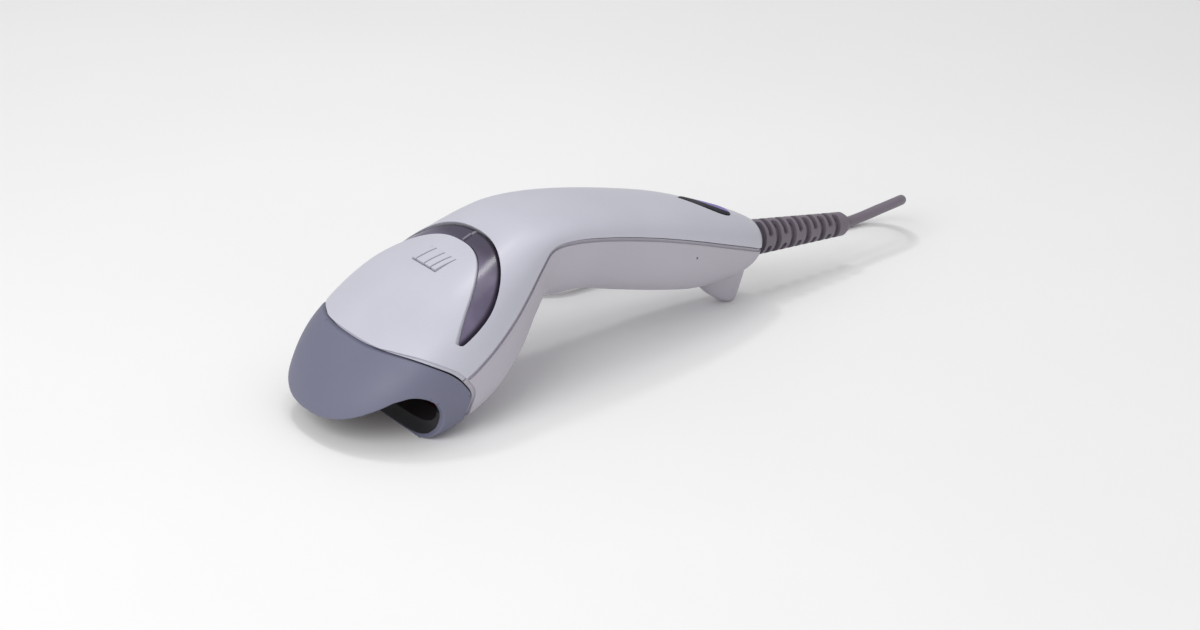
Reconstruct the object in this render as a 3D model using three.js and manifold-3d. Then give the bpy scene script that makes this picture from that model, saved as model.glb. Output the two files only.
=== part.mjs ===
// Handheld laser barcode scanner with its cord: a bent case of two shells and a soft nose, the scan engine
// in the head, the decode board in the handle, and a cord coiled up beside it.
// Millimetres, +Z up. The nose points to -Y, the tail to +Y, and it rests on its nose rim and foot.
import * as THREE from "three";
import { mergeVertices } from "three/addons/utils/BufferGeometryUtils.js";
import Module from "manifold-3d";

const wasm = await Module();
wasm.setup();

// ---------- driving dimensions ----------
const GAP = 0.3; // clearance between pieces that touch
const COVER_WALL = 2.2;
const NOSE_WALL = 2.2;
const LINER_WALL = 1.4;
const CENTRE_SHIFT = 4.3; // moves the body's middle to Y = 0
const HEAD_TILT = THREE.MathUtils.degToRad(30);
const HANDLE_TILT = THREE.MathUtils.degToRad(-16);
const HANDLE_ORIGIN = new THREE.Vector3(0, 24, 38.2);
const BOOT_TILT = THREE.MathUtils.degToRad(-6.8);
const BOOT_ROOT = new THREE.Vector3(0, 83.4, 18.5);
const REACH = 120; // longer than any piece, for regions that cut right through

// The case is a loft. A head station is square to the head's own axis and is given along it:
// [distance along the axis, parting height, half width, top, bottom, top exponent, bottom exponent].
const HEAD_STATIONS = [
  [-74.3, 41.0, 0.0, 41.0, 41.0, 2.3, 3.0],
  [-73.6, 41.0, 8.4, 45.2, 37.0, 2.3, 3.0],
  [-72.0, 41.0, 13.2, 48.0, 35.0, 2.3, 3.5],
  [-69.4, 41.0, 17.8, 50.7, 33.5, 2.3, 4.0],
  [-65.5, 41.0, 21.8, 53.2, 32.4, 2.4, 4.6],
  [-60.5, 41.0, 25.2, 55.3, 31.6, 2.5, 5.2],
  [-55.0, 41.0, 27.9, 57.0, 30.8, 2.6, 5.5],
  [-49.5, 41.2, 29.6, 58.1, 28.8, 2.7, 5.5],
  [-44.0, 41.4, 30.6, 58.8, 27.3, 2.7, 5.3],
  [-37.0, 41.5, 31.0, 59.2, 26.4, 2.8, 5.0],
  [-30.0, 41.4, 30.9, 59.1, 26.0, 2.9, 4.6],
  [-22.0, 41.6, 29.8, 58.4, 26.1, 3.0, 4.0],
  [-13.0, 41.9, 27.4, 57.1, 27.2, 3.0, 3.3],
  [-4.5, 42.5, 24.3, 55.6, 29.2, 3.0, 2.8],
];
// A handle station: [Y, Z on the parting line, lean in degrees, half width, rise, drop, exponents].
const HANDLE_STATIONS = [
  [-17.6, 40.8, 13, 21.1, 9.4, 16.3, 2.8, 2.5],
  [-12.5, 44.6, 5, 19.7, 6.4, 20.5, 2.5, 2.4],
  [-4.0, 44.6, -4, 19.0, 6.6, 21.4, 2.4, 2.4],
  [8.0, 42.4, -11, 18.6, 7.7, 20.2, 2.2, 2.4],
  [24.0, 38.2, -15, 18.0, 8.5, 20.7, 2.2, 2.4],
  [40.0, 33.0, -18, 17.0, 9.3, 20.1, 2.2, 2.4],
  [55.0, 27.4, -21, 15.3, 9.0, 18.3, 2.2, 2.3],
  [66.0, 23.0, -22, 13.0, 8.4, 14.4, 2.1, 2.2],
  [73.0, 20.0, -20, 10.6, 7.6, 10.4, 2.0, 2.0],
  [76.2, 19.0, -12, 7.6, 6.6, 6.5, 2.0, 2.0],
];

// Seam between nose and covers, and edge of the scan mouth, in the head's (distance, height) plane.
const SEAM = [
  [-42.5, 20],
  [-40.9, 31],
  [-36.4, 35.8],
  [-36.3, 40.4],
  [-37.5, 45.4],
  [-40.5, 50.8],
  [-43.4, 54.5],
  [-46.2, 57.0],
  [-47.8, 57.9],
  [-52.5, 62],
];
const MOUTH_EDGE = [
  [-54, 31.2],
  [-49.3, 33.5],
  [-46.4, 37.3],
  [-46.2, 41.6],
  [-48.0, 45.3],
  [-50.8, 47.8],
  [-55, 49.0],
];

// Horseshoe light guide around the scan button, in the head's plan.
const GUIDE_CENTRE = -31.5; // also the button's bending line
const GUIDE_HALF_WIDTH = 29.5;
const GUIDE_LENGTH = 32.9;
const GUIDE_POWER = 2.2;
const PAD_HALF_WIDTH = 28.6;
const PAD_LENGTH = 26.7;
const PAD_POWERS = [2.5, 0.98];
const GUIDE_SINK = 0.6; // below the case surface
const GUIDE_DEPTH = 2.2;

// Button press: the post pushes the switch plunger PRESS_REACH behind the bending line.
const SWITCH_S = -14;
const PLUNGER_TOP = 54.2;
const BUTTON_WALL = 2.0;

// Case foot at the tail, level by level: [height, front, back, half width].
const FOOT_LEVELS = [
  [0, 67.2, 69.8, 1.6],
  [0.4, 66.2, 70.4, 2.4],
  [1.2, 64.8, 71.1, 3.0],
  [2.6, 62.6, 71.9, 3.5],
  [5.6, 59.0, 73.0, 4.2],
  [9.3, 56.0, 74.0, 5.4],
  [13, 53.6, 74.2, 6.8],
  [17, 51.6, 74.0, 8.6],
];

// Cord.
const CORD_RADIUS = 1.75;
const COIL_CENTRE = new THREE.Vector3(-66, 52, 0);
const COIL_INNER = 8.75;
const COIL_OUTER = 33.25;
const COIL_HEIGHT = 7.0;
const TIE_WIDTH = 9;
const TIE_THICKNESS = 0.8;

// Nose pieces, case mouth for the boot, and badge.
const NOSE_BACK = 10; // the nose pieces end before this station
const LINER_FRONT = -66;
const LINER_BACK = -44.2;
const BOOT_NECK = 4.4;
const BADGE_FRONT = 48.2;
const BADGE_BACK = 66.2;
const BADGE_HALF_WIDTH = 8.2;

// Screws, and the posts and bosses that take them.
const HEAD_SCREW = { x: 24.5, s: -31.5, n: 29.2 };
const HANDLE_SCREW = { y: 21, z: -15.6 };
const SCREW = { headRadius: 2.5, headHeight: 1.8, shankRadius: 1.3, length: 13 };
const POST_RADIUS = 3.6;
const POST_TOP = 7.6;
const BOSS_RADIUS = 2.9;
const BOSS_TOP = 25;
const SIDE_BOSS_TOP = 45.5;
const ENGINE_SCREW = { x: 12, s: -33, length: 6.5 };
const PIN_HOLE_RADIUS = 0.9;

// Scan engine and the button's switch, in the head's frame.
const CHASSIS = { half: 16.5, front: -38, back: -8, floor: 33, top: 49.2, wall: 1.6 };
const MIRROR_AT = { x: 3, s: -21, n: 41.5 };
const MIRROR_TURN = (3 * Math.PI) / 4; // the mirror's rest angle about its upright pin
const PIVOT_RADIUS = 0.9;
const LASER_RADIUS = 3.0;
const ENGINE_BOARD_X = [-15, 15];
const ENGINE_BOARD_S = [-36, -5.1];
const ENGINE_BOARD_N = [49.6, 50.8];
const SWITCH_HALF = 3.0;
const SWITCH_TOP = 53.1;
const PLUNGER_RADIUS = 1.6;
const PLUNGER_SPAN = [PLUNGER_TOP - 1.9, PLUNGER_TOP];

// Decode board and cable connector, in the handle's frame.
const BOARD = { half: 12, rearHalf: 8.5, front: -22, waist: 12, rear: 37.5, bottom: -7.5, top: -6.1 };
const JACK = { half: 6.5, front: 24.5, rear: 37.5, bottom: -5.8, top: 2.7 };
const PLUG = { half: 4.8, front: 27.5, rear: 40, bottom: -4.3, top: 1.2 };
const PLUG_X = [-PLUG.half, PLUG.half];

// Cord boot and USB plug.
const BOOT = { flange: -14.4, start: -6.4, end: 35.4, rootRadius: 5.9, tipRadius: 3.9 };
const BOOT_CONE = { radius: 2.7, length: 1.8 };
const SLOTS = { count: 6, first: -5.7, pitch: 6.7, width: 1.9, depth: 1.0 };
const USB = { x: -44, rear: 12, front: -18, tip: -37, axis: 3.9 };
const USB_BODY = { half: 8, height: 7.8 };
const USB_SHELL = { half: 6, height: 4.5, wall: 0.45 };

// ---------- materials ----------
function plastic(color, roughness = 0.5, metalness = 0) {
  return new THREE.MeshStandardMaterial({ color, roughness, metalness });
}
const CASE_TOP = plastic(0xcdcdda, 0.45);
const CASE_BOTTOM = plastic(0xb4aebb, 0.5);
const NOSE_RUBBER = plastic(0x73748a, 0.6);
const BLACK = plastic(0x18171c, 0.5);
const SMOKE = plastic(0x6a6478, 0.15);
const DEEP_RED = plastic(0x3a0a10, 0.1);
const GREY_VINYL = plastic(0x76707a, 0.6);
const DIE_CAST = plastic(0xa6a8ab, 0.35, 1);
const STEEL = plastic(0xc2c4c8, 0.3, 1);
const COPPER = plastic(0xb4703a, 0.35, 1);
const BRASS = plastic(0xc9a659, 0.3, 1);
const MIRROR = plastic(0xf0f2f5, 0.04, 1);
const BOARD_GREEN = plastic(0x1f5a37, 0.5);
const CHIP = plastic(0x202124, 0.45);
const CLEAR = plastic(0xdfe6ea, 0.1);

// ---------- solids ----------
function solid(geometry) {
  const plain = geometry.clone();
  for (const name of Object.keys(plain.attributes)) {
    if (name !== "position") plain.deleteAttribute(name);
  }
  const merged = mergeVertices(plain, 1e-4);
  return new wasm.Manifold(
    new wasm.Mesh({
      numProp: 3,
      vertProperties: new Float32Array(merged.attributes.position.array),
      triVerts: new Uint32Array(merged.index.array),
    }),
  );
}

function geometryOf(shape) {
  const made = shape.getMesh();
  const geometry = new THREE.BufferGeometry();
  geometry.setAttribute("position", new THREE.BufferAttribute(made.vertProperties, 3));
  geometry.setIndex(new THREE.BufferAttribute(made.triVerts, 1));
  geometry.computeVertexNormals();
  return geometry;
}

function piece(name, shape, material) {
  const geometry = shape.isBufferGeometry ? shape : geometryOf(shape);
  const mesh = new THREE.Mesh(geometry, material);
  mesh.name = name;
  return mesh;
}

function outline(points) {
  return new THREE.Shape(points.map(([x, y]) => new THREE.Vector2(x, y)));
}

function extruded(points, depth, options = {}) {
  const settings = { depth, bevelEnabled: false, ...options };
  return new THREE.ExtrudeGeometry(outline(points), settings).translate(0, 0, -depth / 2);
}

// An outline in the (Y, Z) plane, carried right across the case along X.
const SIDE_ON = new THREE.Matrix4().makeBasis(
  new THREE.Vector3(0, 1, 0),
  new THREE.Vector3(0, 0, 1),
  new THREE.Vector3(1, 0, 0),
);
const HEAD_FRAME = new THREE.Matrix4().makeRotationX(HEAD_TILT);
const HANDLE_FRAME = new THREE.Matrix4().makeRotationX(HANDLE_TILT).setPosition(HANDLE_ORIGIN);

function acrossCase(points, width = REACH) {
  return extruded(points, width).applyMatrix4(SIDE_ON);
}

function acrossHead(points, width = REACH) {
  return acrossCase(points, width).applyMatrix4(HEAD_FRAME);
}

function throughHead(points) {
  return extruded(points, REACH).translate(0, 0, REACH / 2 + 45).applyMatrix4(HEAD_FRAME);
}

function box(x, y, z) {
  const [width, depth, height] = [x[1] - x[0], y[1] - y[0], z[1] - z[0]];
  const middle = [x, y, z].map(([low, high]) => (low + high) / 2);
  return new THREE.BoxGeometry(width, depth, height).translate(...middle);
}

// A round bar along Z from one height to another.
function bar(radius, x, y, z, sides = 20) {
  const height = z[1] - z[0];
  const geometry = new THREE.CylinderGeometry(radius, radius, height, sides).rotateX(Math.PI / 2);
  return geometry.translate(x, y, (z[0] + z[1]) / 2);
}

// A turned piece: [radius, height] pairs from one end of the axis to the other.
function turned(profile, sides = 20) {
  const points = profile.map(([radius, height]) => new THREE.Vector2(radius, height));
  return new THREE.LatheGeometry(points, sides).rotateX(Math.PI / 2);
}

function curveThrough(points, steps) {
  return new THREE.SplineCurve(points.map(([x, y]) => new THREE.Vector2(x, y)))
    .getPoints(steps)
    .map((p) => [p.x, p.y]);
}

// ---------- case loft ----------
function headPoint(s, n) {
  const [c, d] = [Math.cos(HEAD_TILT), Math.sin(HEAD_TILT)];
  return [c * s - d * n, d * s + c * n];
}

function stationRow([s, part, half, top, bottom, upper, lower]) {
  const [y, z] = headPoint(s, part);
  const lean = THREE.MathUtils.radToDeg(HEAD_TILT);
  return [y, z, lean, half, top - part, part - bottom, upper, lower];
}

const STATIONS = [...HEAD_STATIONS.map(stationRow), ...HANDLE_STATIONS];
const LAST_STATION = STATIONS.length - 1;

function blendRow(before, from, to, after, u) {
  return from.map((p1, k) => {
    const [p0, p2, p3] = [before[k], to[k], after[k]];
    const cubic = (-p0 + 3 * p1 - 3 * p2 + p3) * u ** 3;
    return 0.5 * (2 * p1 + (p2 - p0) * u + (2 * p0 - 5 * p1 + 4 * p2 - p3) * u * u + cubic);
  });
}

function mirrored(row, about) {
  return row.map((value, k) => 2 * value - about[k]);
}

function stationAt(t) {
  const i = Math.min(Math.floor(t), LAST_STATION - 1);
  const before = STATIONS[i - 1] ?? mirrored(STATIONS[0], STATIONS[1]);
  const after = STATIONS[i + 2] ?? mirrored(STATIONS[i + 1], STATIONS[i]);
  return blendRow(before, STATIONS[i], STATIONS[i + 1], after, t - i);
}

function sectionPoints(t, inset, quarter) {
  const [y, z, lean, half, rise, drop, upper, lower] = stationAt(t);
  const angle = THREE.MathUtils.degToRad(lean);
  const points = [];
  for (let k = 0; k < 4 * quarter; k++) {
    const turn = (k / quarter) * (Math.PI / 2);
    const power = 2 / (k <= 2 * quarter ? upper : lower);
    const reach = k <= 2 * quarter ? rise : -drop;
    const width = Math.max(half - inset, 0) * Math.sign(Math.cos(turn)) * Math.abs(Math.cos(turn)) ** power;
    const level = (Math.abs(reach) - inset) * Math.sign(reach) * Math.abs(Math.sin(turn)) ** power;
    const flat = k % quarter === 0;
    const x = flat && k % (2 * quarter) !== 0 ? 0 : width;
    const h = flat && k % (2 * quarter) === 0 ? 0 : level;
    points.push([x, y - Math.sin(angle) * h, z + Math.cos(angle) * h]);
  }
  return points;
}

function loft(inset, from, to, rings, quarter = 6) {
  const around = 4 * quarter;
  const positions = [];
  const faces = [];
  for (let i = 0; i <= rings; i++) {
    const t = from + ((to - from) * i) / rings;
    positions.push(...sectionPoints(t, inset, quarter).flat());
  }
  const ends = [from, to].map((t) => stationAt(t));
  positions.push(0, ends[0][0], ends[0][1], 0, ends[1][0], ends[1][1]);
  const firstCap = (rings + 1) * around;
  for (let k = 0; k < around; k++) {
    const next = (k + 1) % around;
    for (let i = 0; i < rings; i++) {
      const [a, b] = [i * around + k, i * around + next];
      faces.push(a, b + around, b, a, a + around, b + around);
    }
    faces.push(firstCap, k, next);
    faces.push(firstCap + 1, rings * around + next, rings * around + k);
  }
  const geometry = new THREE.BufferGeometry();
  geometry.setAttribute("position", new THREE.Float32BufferAttribute(positions, 3));
  geometry.setIndex(faces);
  return geometry;
}

function partingLine(offset) {
  const points = [];
  for (let t = 1; t <= LAST_STATION; t += 0.5) {
    const [y, z, lean] = stationAt(t);
    const angle = THREE.MathUtils.degToRad(lean);
    points.push([y - Math.sin(angle) * offset, z + Math.cos(angle) * offset]);
  }
  const [first, last] = [points[0], points[points.length - 1]];
  return [[first[0] - 20, first[1] - 12], ...points, [last[0] + 20, last[1] - 4]];
}

// ---------- case shells ----------
const TAIL_END = LAST_STATION;
const INNER_TAIL = LAST_STATION - 0.75; // the inside stops here, which leaves the tail's end wall
const NOSE_START = 0.1;

const outer = solid(loft(0, NOSE_START, TAIL_END, 38));
const coverInside = solid(loft(COVER_WALL, 1.6, INNER_TAIL, 26, 5));
const wallMiddle = solid(loft(COVER_WALL / 2, 1.3, LAST_STATION - 0.4, 26, 5)); // posts grow out of it
const noseInside = solid(loft(NOSE_WALL, 1.4, NOSE_BACK, 12, 5));

function seamRegion(offset) {
  const edge = curveThrough(SEAM, 22).map(([s, n]) => [s + offset, n]);
  return solid(acrossHead([[-REACH, 20], ...edge, [-REACH, 62]]));
}

function mouthRegion(offset) {
  const edge = curveThrough(MOUTH_EDGE, 16).map(([s, n]) => [s + offset, n]);
  return solid(acrossHead([[-54.5 + offset, -REACH], ...edge, [-REACH, 49], [-REACH, -REACH]].reverse()));
}

const noseRegion = seamRegion(-GAP / 2);
const notCovers = seamRegion(GAP / 2);
const mouth = mouthRegion(0);
const table = solid(box([-REACH, REACH], [-REACH, REACH], [-REACH, 0]));
const abovePart = [...partingLine(GAP / 2 + 0.03), [REACH, REACH], [-REACH, REACH]];
const belowPart = [...partingLine(-GAP / 2 - 0.03), [REACH, -REACH], [-REACH, -REACH]];
const topRegion = solid(acrossCase(abovePart));
const bottomRegion = solid(acrossCase(belowPart.reverse()));

// The boot passes through the tail's end wall.
const bootFrame = new THREE.Matrix4().makeRotationX(BOOT_TILT).setPosition(BOOT_ROOT);
const alongBoot = new THREE.Matrix4().multiplyMatrices(
  bootFrame,
  new THREE.Matrix4().makeRotationX(-Math.PI / 2),
);
const bootHole = solid(bar(BOOT_NECK + GAP, 0, 0, [-14, 2], 24).applyMatrix4(alongBoot));

// Horseshoe outlines in the head's plan, as (x, s).
function guideOutline(grow) {
  const points = [];
  for (let k = -12; k <= 12; k++) {
    const share = Math.sin((Math.PI * k) / 24);
    const reach = (1 - Math.abs(share) ** GUIDE_POWER) ** (1 / GUIDE_POWER);
    const x = -share * (GUIDE_HALF_WIDTH + grow);
    points.push([x, GUIDE_CENTRE + (GUIDE_LENGTH + grow) * reach]);
  }
  return points;
}

function padOutline(grow) {
  const points = [];
  for (let k = -12; k <= 12; k++) {
    const share = Math.sin((Math.PI * k) / 24);
    const reach = (1 - Math.abs(share) ** PAD_POWERS[0]) ** PAD_POWERS[1];
    const x = -share * (PAD_HALF_WIDTH + grow);
    points.push([x, GUIDE_CENTRE + (PAD_LENGTH + grow) * reach]);
  }
  return points;
}

function behind(s, floor = 45) {
  return solid(box([-REACH, REACH], [s, REACH], [floor, REACH]).applyMatrix4(HEAD_FRAME));
}

const openingSide = behind(GUIDE_CENTRE - GAP / 2);
const buttonSide = behind(GUIDE_CENTRE + GAP / 2);
const pad = solid(throughHead(padOutline(-GAP / 2)));
const guideOpening = solid(throughHead(guideOutline(0)));
const guideBody = solid(throughHead(guideOutline(-GAP)))
  .subtract(solid(throughHead(padOutline(GAP))))
  .intersect(behind(GUIDE_CENTRE + GAP, SIDE_BOSS_TOP + GAP));

// Name badge on the tail, a teardrop with its point forward.
function teardrop(grow) {
  const length = BADGE_BACK - BADGE_FRONT;
  const points = [];
  for (let k = 0; k < 28; k++) {
    const turn = (2 * Math.PI * k) / 28;
    const along = (1 - Math.cos(turn)) / 2;
    const wide = (BADGE_HALF_WIDTH + grow) * Math.sin(turn) * Math.sqrt(along) * 1.16;
    points.push([wide, BADGE_FRONT - grow + (length + 2 * grow) * along]);
  }
  return points.reverse();
}

function aboveTail(points) {
  return solid(extruded(points, REACH).translate(0, 0, REACH / 2 + 18));
}

const TAIL_RANGE = [LAST_STATION - 5.2, TAIL_END];
const badgeRecess = aboveTail(teardrop(GAP)).subtract(solid(loft(0.9, ...TAIL_RANGE, 12)));
const badge = aboveTail(teardrop(0))
  .intersect(solid(loft(-0.1, ...TAIL_RANGE, 12)))
  .subtract(solid(loft(0.6, ...TAIL_RANGE, 12)));

// Case screws: two in the head, one in the handle. Each frame's Z runs up the screw from its head.
function headFrameAt(x, s, n) {
  return new THREE.Matrix4().makeTranslation(x, s, n).premultiply(HEAD_FRAME);
}

const screwFrames = {
  case_screw_left: headFrameAt(HEAD_SCREW.x, HEAD_SCREW.s, HEAD_SCREW.n),
  case_screw_right: headFrameAt(-HEAD_SCREW.x, HEAD_SCREW.s, HEAD_SCREW.n),
  case_screw_tail: new THREE.Matrix4()
    .makeTranslation(0, HANDLE_SCREW.y, HANDLE_SCREW.z)
    .premultiply(HANDLE_FRAME),
};

function ofFrame(geometry, frame) {
  return solid(geometry.applyMatrix4(frame));
}

function screwShape(length = SCREW.length) {
  const { headRadius, headHeight, shankRadius } = SCREW;
  return turned([
    [0, 0.7],
    [1.1, 0.7],
    [1.1, 0],
    [headRadius, 0],
    [headRadius, headHeight],
    [shankRadius, headHeight],
    [shankRadius, length - 1],
    [0, length],
  ], 12);
}

function foot() {
  const sides = 20;
  const positions = [];
  for (const [z, front, back, half] of FOOT_LEVELS) {
    for (let k = 0; k < sides; k++) {
      const [across, along] = [Math.sin((2 * Math.PI * k) / sides), Math.cos((2 * Math.PI * k) / sides)];
      const x = half * Math.sign(across) * Math.abs(across) ** 0.8;
      positions.push(x, (front + back) / 2 + ((back - front) / 2) * along, z);
    }
  }
  const faces = [];
  const last = (FOOT_LEVELS.length - 1) * sides;
  for (let k = 0; k < sides; k++) {
    const next = (k + 1) % sides;
    for (let at = 0; at < last; at += sides) {
      faces.push(at + k, at + next + sides, at + next, at + k, at + k + sides, at + next + sides);
    }
    if (k > 1) faces.push(0, k - 1, k, last, last + k, last + k - 1);
  }
  const geometry = new THREE.BufferGeometry();
  geometry.setAttribute("position", new THREE.Float32BufferAttribute(positions, 3));
  geometry.setIndex(faces);
  return solid(geometry);
}

let topCover = outer.subtract(coverInside);
topCover = topCover.intersect(topRegion).subtract(notCovers).subtract(mouth);
topCover = topCover.subtract(guideOpening.intersect(openingSide)).subtract(badgeRecess);
let bottomCover = outer.add(foot()).subtract(coverInside).intersect(bottomRegion);
bottomCover = bottomCover.subtract(notCovers).subtract(mouth).subtract(table);

// Ribs join the head's two bosses to the side walls, below the light guide.
for (const side of [-1, 1]) {
  const x = [HEAD_SCREW.x, 31].map((value) => side * value).sort((p, q) => p - q);
  const along = [HEAD_SCREW.s - 1.2, HEAD_SCREW.s + 1.2];
  const rib = box(x, along, [HEAD_SCREW.n + POST_TOP + GAP + 5, SIDE_BOSS_TOP]);
  topCover = topCover.add(solid(rib.applyMatrix4(HEAD_FRAME)).intersect(wallMiddle));
}
const guideSpace = solid(
  box([-REACH, REACH], [-REACH, 0], [SIDE_BOSS_TOP, REACH]).applyMatrix4(HEAD_FRAME),
);
for (const frame of Object.values(screwFrames)) {
  const post = ofFrame(bar(POST_RADIUS, 0, 0, [-4, POST_TOP], 16), frame).intersect(wallMiddle);
  const sunk = ofFrame(bar(SCREW.headRadius + GAP, 0, 0, [-8, SCREW.headHeight + GAP], 16), frame);
  const hole = ofFrame(bar(SCREW.shankRadius + GAP, 0, 0, [-1, POST_TOP + 8], 12), frame);
  const boss = ofFrame(bar(BOSS_RADIUS, 0, 0, [POST_TOP + GAP, BOSS_TOP], 16), frame);
  bottomCover = bottomCover.add(post.intersect(bottomRegion)).subtract(sunk).subtract(hole);
  topCover = topCover.add(boss.intersect(wallMiddle).subtract(guideSpace)).subtract(hole);
}
for (const side of [-1, 1]) {
  const frame = headFrameAt(side * ENGINE_SCREW.x, ENGINE_SCREW.s, 0);
  const stud = ofFrame(bar(2.8, 0, 0, [20, CHASSIS.floor - GAP], 16), frame).intersect(wallMiddle);
  const bore = ofFrame(bar(SCREW.shankRadius + GAP, 0, 0, [29.6, CHASSIS.floor + 1], 12), frame);
  bottomCover = bottomCover.add(stud).subtract(bore);
}
const pinHole = ofFrame(
  new THREE.CylinderGeometry(PIN_HOLE_RADIUS, PIN_HOLE_RADIUS, 20, 12).rotateZ(Math.PI / 2),
  new THREE.Matrix4().makeTranslation(18, 43, 26.4),
);
topCover = topCover.subtract(bootHole);
bottomCover = bottomCover.subtract(bootHole).subtract(pinHole);

const nose = outer.subtract(noseInside).intersect(noseRegion).subtract(mouth).subtract(table);

const linerSlab = solid(
  box([-REACH, REACH], [LINER_FRONT, LINER_BACK], [0, REACH]).applyMatrix4(HEAD_FRAME),
);
const liner = solid(loft(NOSE_WALL + GAP, 1.5, NOSE_BACK, 12, 5))
  .subtract(solid(loft(NOSE_WALL + GAP + LINER_WALL, 1.6, NOSE_BACK + 0.2, 12, 5)))
  .intersect(linerSlab)
  .subtract(mouthRegion(0.4));
const windowSlab = solid(box([-REACH, REACH], [-43.8, -42.4], [0, REACH]).applyMatrix4(HEAD_FRAME));
const exitWindow = solid(loft(NOSE_WALL + 0.4, 5, NOSE_BACK, 6, 5)).intersect(windowSlab);

const lightGuide = solid(loft(GUIDE_SINK, 6, 15, 12))
  .subtract(solid(loft(GUIDE_SINK + GUIDE_DEPTH, 5.8, 15.2, 12)))
  .intersect(guideBody);

const padLoft = solid(loft(0, 6, 15, 12)).subtract(solid(loft(BUTTON_WALL, 5.8, 15.2, 12)));
const pressPost = solid(
  bar(1.6, 0, SWITCH_S, [PLUNGER_TOP + GAP, 56.5], 16).applyMatrix4(HEAD_FRAME),
);
const scanButton = padLoft.intersect(pad).intersect(buttonSide).add(pressPost);

// ---------- scan engine, in the head's frame: Y runs back along the head, Z up through it ----------

function chassisShape() {
  const { half, front, back, floor, top, wall } = CHASSIS;
  const tray = solid(box([-half, half], [front, back], [floor, top]));
  const inside = solid(box([-half + wall, half - wall], [front - 1, back - wall], [floor + wall, top + 1]));
  let shape = tray.subtract(inside);
  for (const side of [-1, 1]) {
    const hole = bar(SCREW.shankRadius + GAP, side * ENGINE_SCREW.x, ENGINE_SCREW.s, [0, 60], 12);
    shape = shape.subtract(solid(hole));
  }
  const pinSeat = bar(PIVOT_RADIUS + GAP, MIRROR_AT.x, MIRROR_AT.s, [0, 60], 12);
  const laserSeat = new THREE.CylinderGeometry(LASER_RADIUS + GAP, LASER_RADIUS + GAP, 8, 20)
    .rotateZ(Math.PI / 2)
    .translate(-half, MIRROR_AT.s, MIRROR_AT.n);
  return shape.subtract(solid(pinSeat)).subtract(solid(laserSeat));
}

// The mirror and its carrier turn on the upright pin; the magnet rides on the carrier's back.
function mirrorParts() {
  const turn = new THREE.Group();
  turn.position.set(MIRROR_AT.x, MIRROR_AT.s, 0);
  turn.rotation.z = MIRROR_TURN;
  const carrier = solid(box([-5.5, 5.5], [-2.2, 1.6], [36.6, 46.2])).subtract(
    solid(bar(PIVOT_RADIUS + GAP, 0, 0, [30, 50], 12)),
  );
  turn.add(
    piece("mirror_carrier", carrier, BLACK),
    piece("scan_mirror", box([-8, 8], [1.9, 2.8], [36, 47]), MIRROR),
    piece("mirror_magnet", box([-4, 4], [-4.7, -2.5], [39, 44]), STEEL),
  );
  return turn;
}

function laserParts() {
  const laser = new THREE.Group();
  laser.position.set(-CHASSIS.half - 1.2, MIRROR_AT.s, MIRROR_AT.n);
  laser.rotation.y = Math.PI / 2;
  const barrel = turned([
    [1.2, 0],
    [LASER_RADIUS, 0],
    [LASER_RADIUS, 6.4],
    [1.2, 6.4],
    [1.2, 0],
  ]);
  const lens = turned([
    [0, 0.4],
    [0.8, 0.4],
    [0.8, 1.4],
    [0, 1.8],
  ], 12).translate(0, 0, 4.2);
  const can = turned([
    [0, -2.4],
    [2.4, -2.4],
    [2.4, -0.4],
    [0, -0.4],
  ]);
  laser.add(
    piece("laser_barrel", barrel, BRASS),
    piece("collimator_lens", lens, CLEAR),
    piece("laser_diode", can, STEEL),
  );
  return laser;
}

// Concave collecting mirror with a hole for the outgoing beam.
function collectorShape() {
  const face = curveThrough([[-6.5, 1.2], [-3.2, 0.4], [0, 0.1], [3.2, 0.4], [6.5, 1.2]], 12);
  const slab = extruded([...face, [6.5, -1.6], [-6.5, -1.6]].reverse(), 11);
  const beam = new THREE.CylinderGeometry(1.4, 1.4, 10, 12);
  return solid(slab).subtract(solid(beam));
}

function collector() {
  const mesh = piece("collecting_mirror", collectorShape(), MIRROR);
  mesh.position.set(-8.6, MIRROR_AT.s + 0.4, MIRROR_AT.n);
  mesh.rotation.z = -Math.PI / 2;
  return mesh;
}

// The coil stands behind the magnet, on the mirror's own axis line.
function driveCoil() {
  const bobbin = turned([
    [2.2, 0],
    [4.4, 0],
    [4.4, 1.0],
    [3.8, 1.0],
    [3.8, 2.4],
    [4.4, 2.4],
    [4.4, 3.2],
    [2.2, 3.2],
    [2.2, 0],
  ], 16);
  const stand = new THREE.Group();
  stand.position.set(MIRROR_AT.x, MIRROR_AT.s, MIRROR_AT.n);
  stand.rotation.z = MIRROR_TURN;
  const mesh = piece("drive_coil", bobbin.rotateX(Math.PI / 2).translate(0, -5.9, 0), COPPER);
  stand.add(mesh);
  return stand;
}

function switchShape() {
  const bottom = ENGINE_BOARD_N[1] + GAP;
  const along = [SWITCH_S - SWITCH_HALF, SWITCH_S + SWITCH_HALF];
  const body = box([-SWITCH_HALF, SWITCH_HALF], along, [bottom, SWITCH_TOP]);
  return solid(body).subtract(solid(bar(PLUNGER_RADIUS + GAP, 0, SWITCH_S, [bottom + 0.6, 60], 16)));
}

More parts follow.
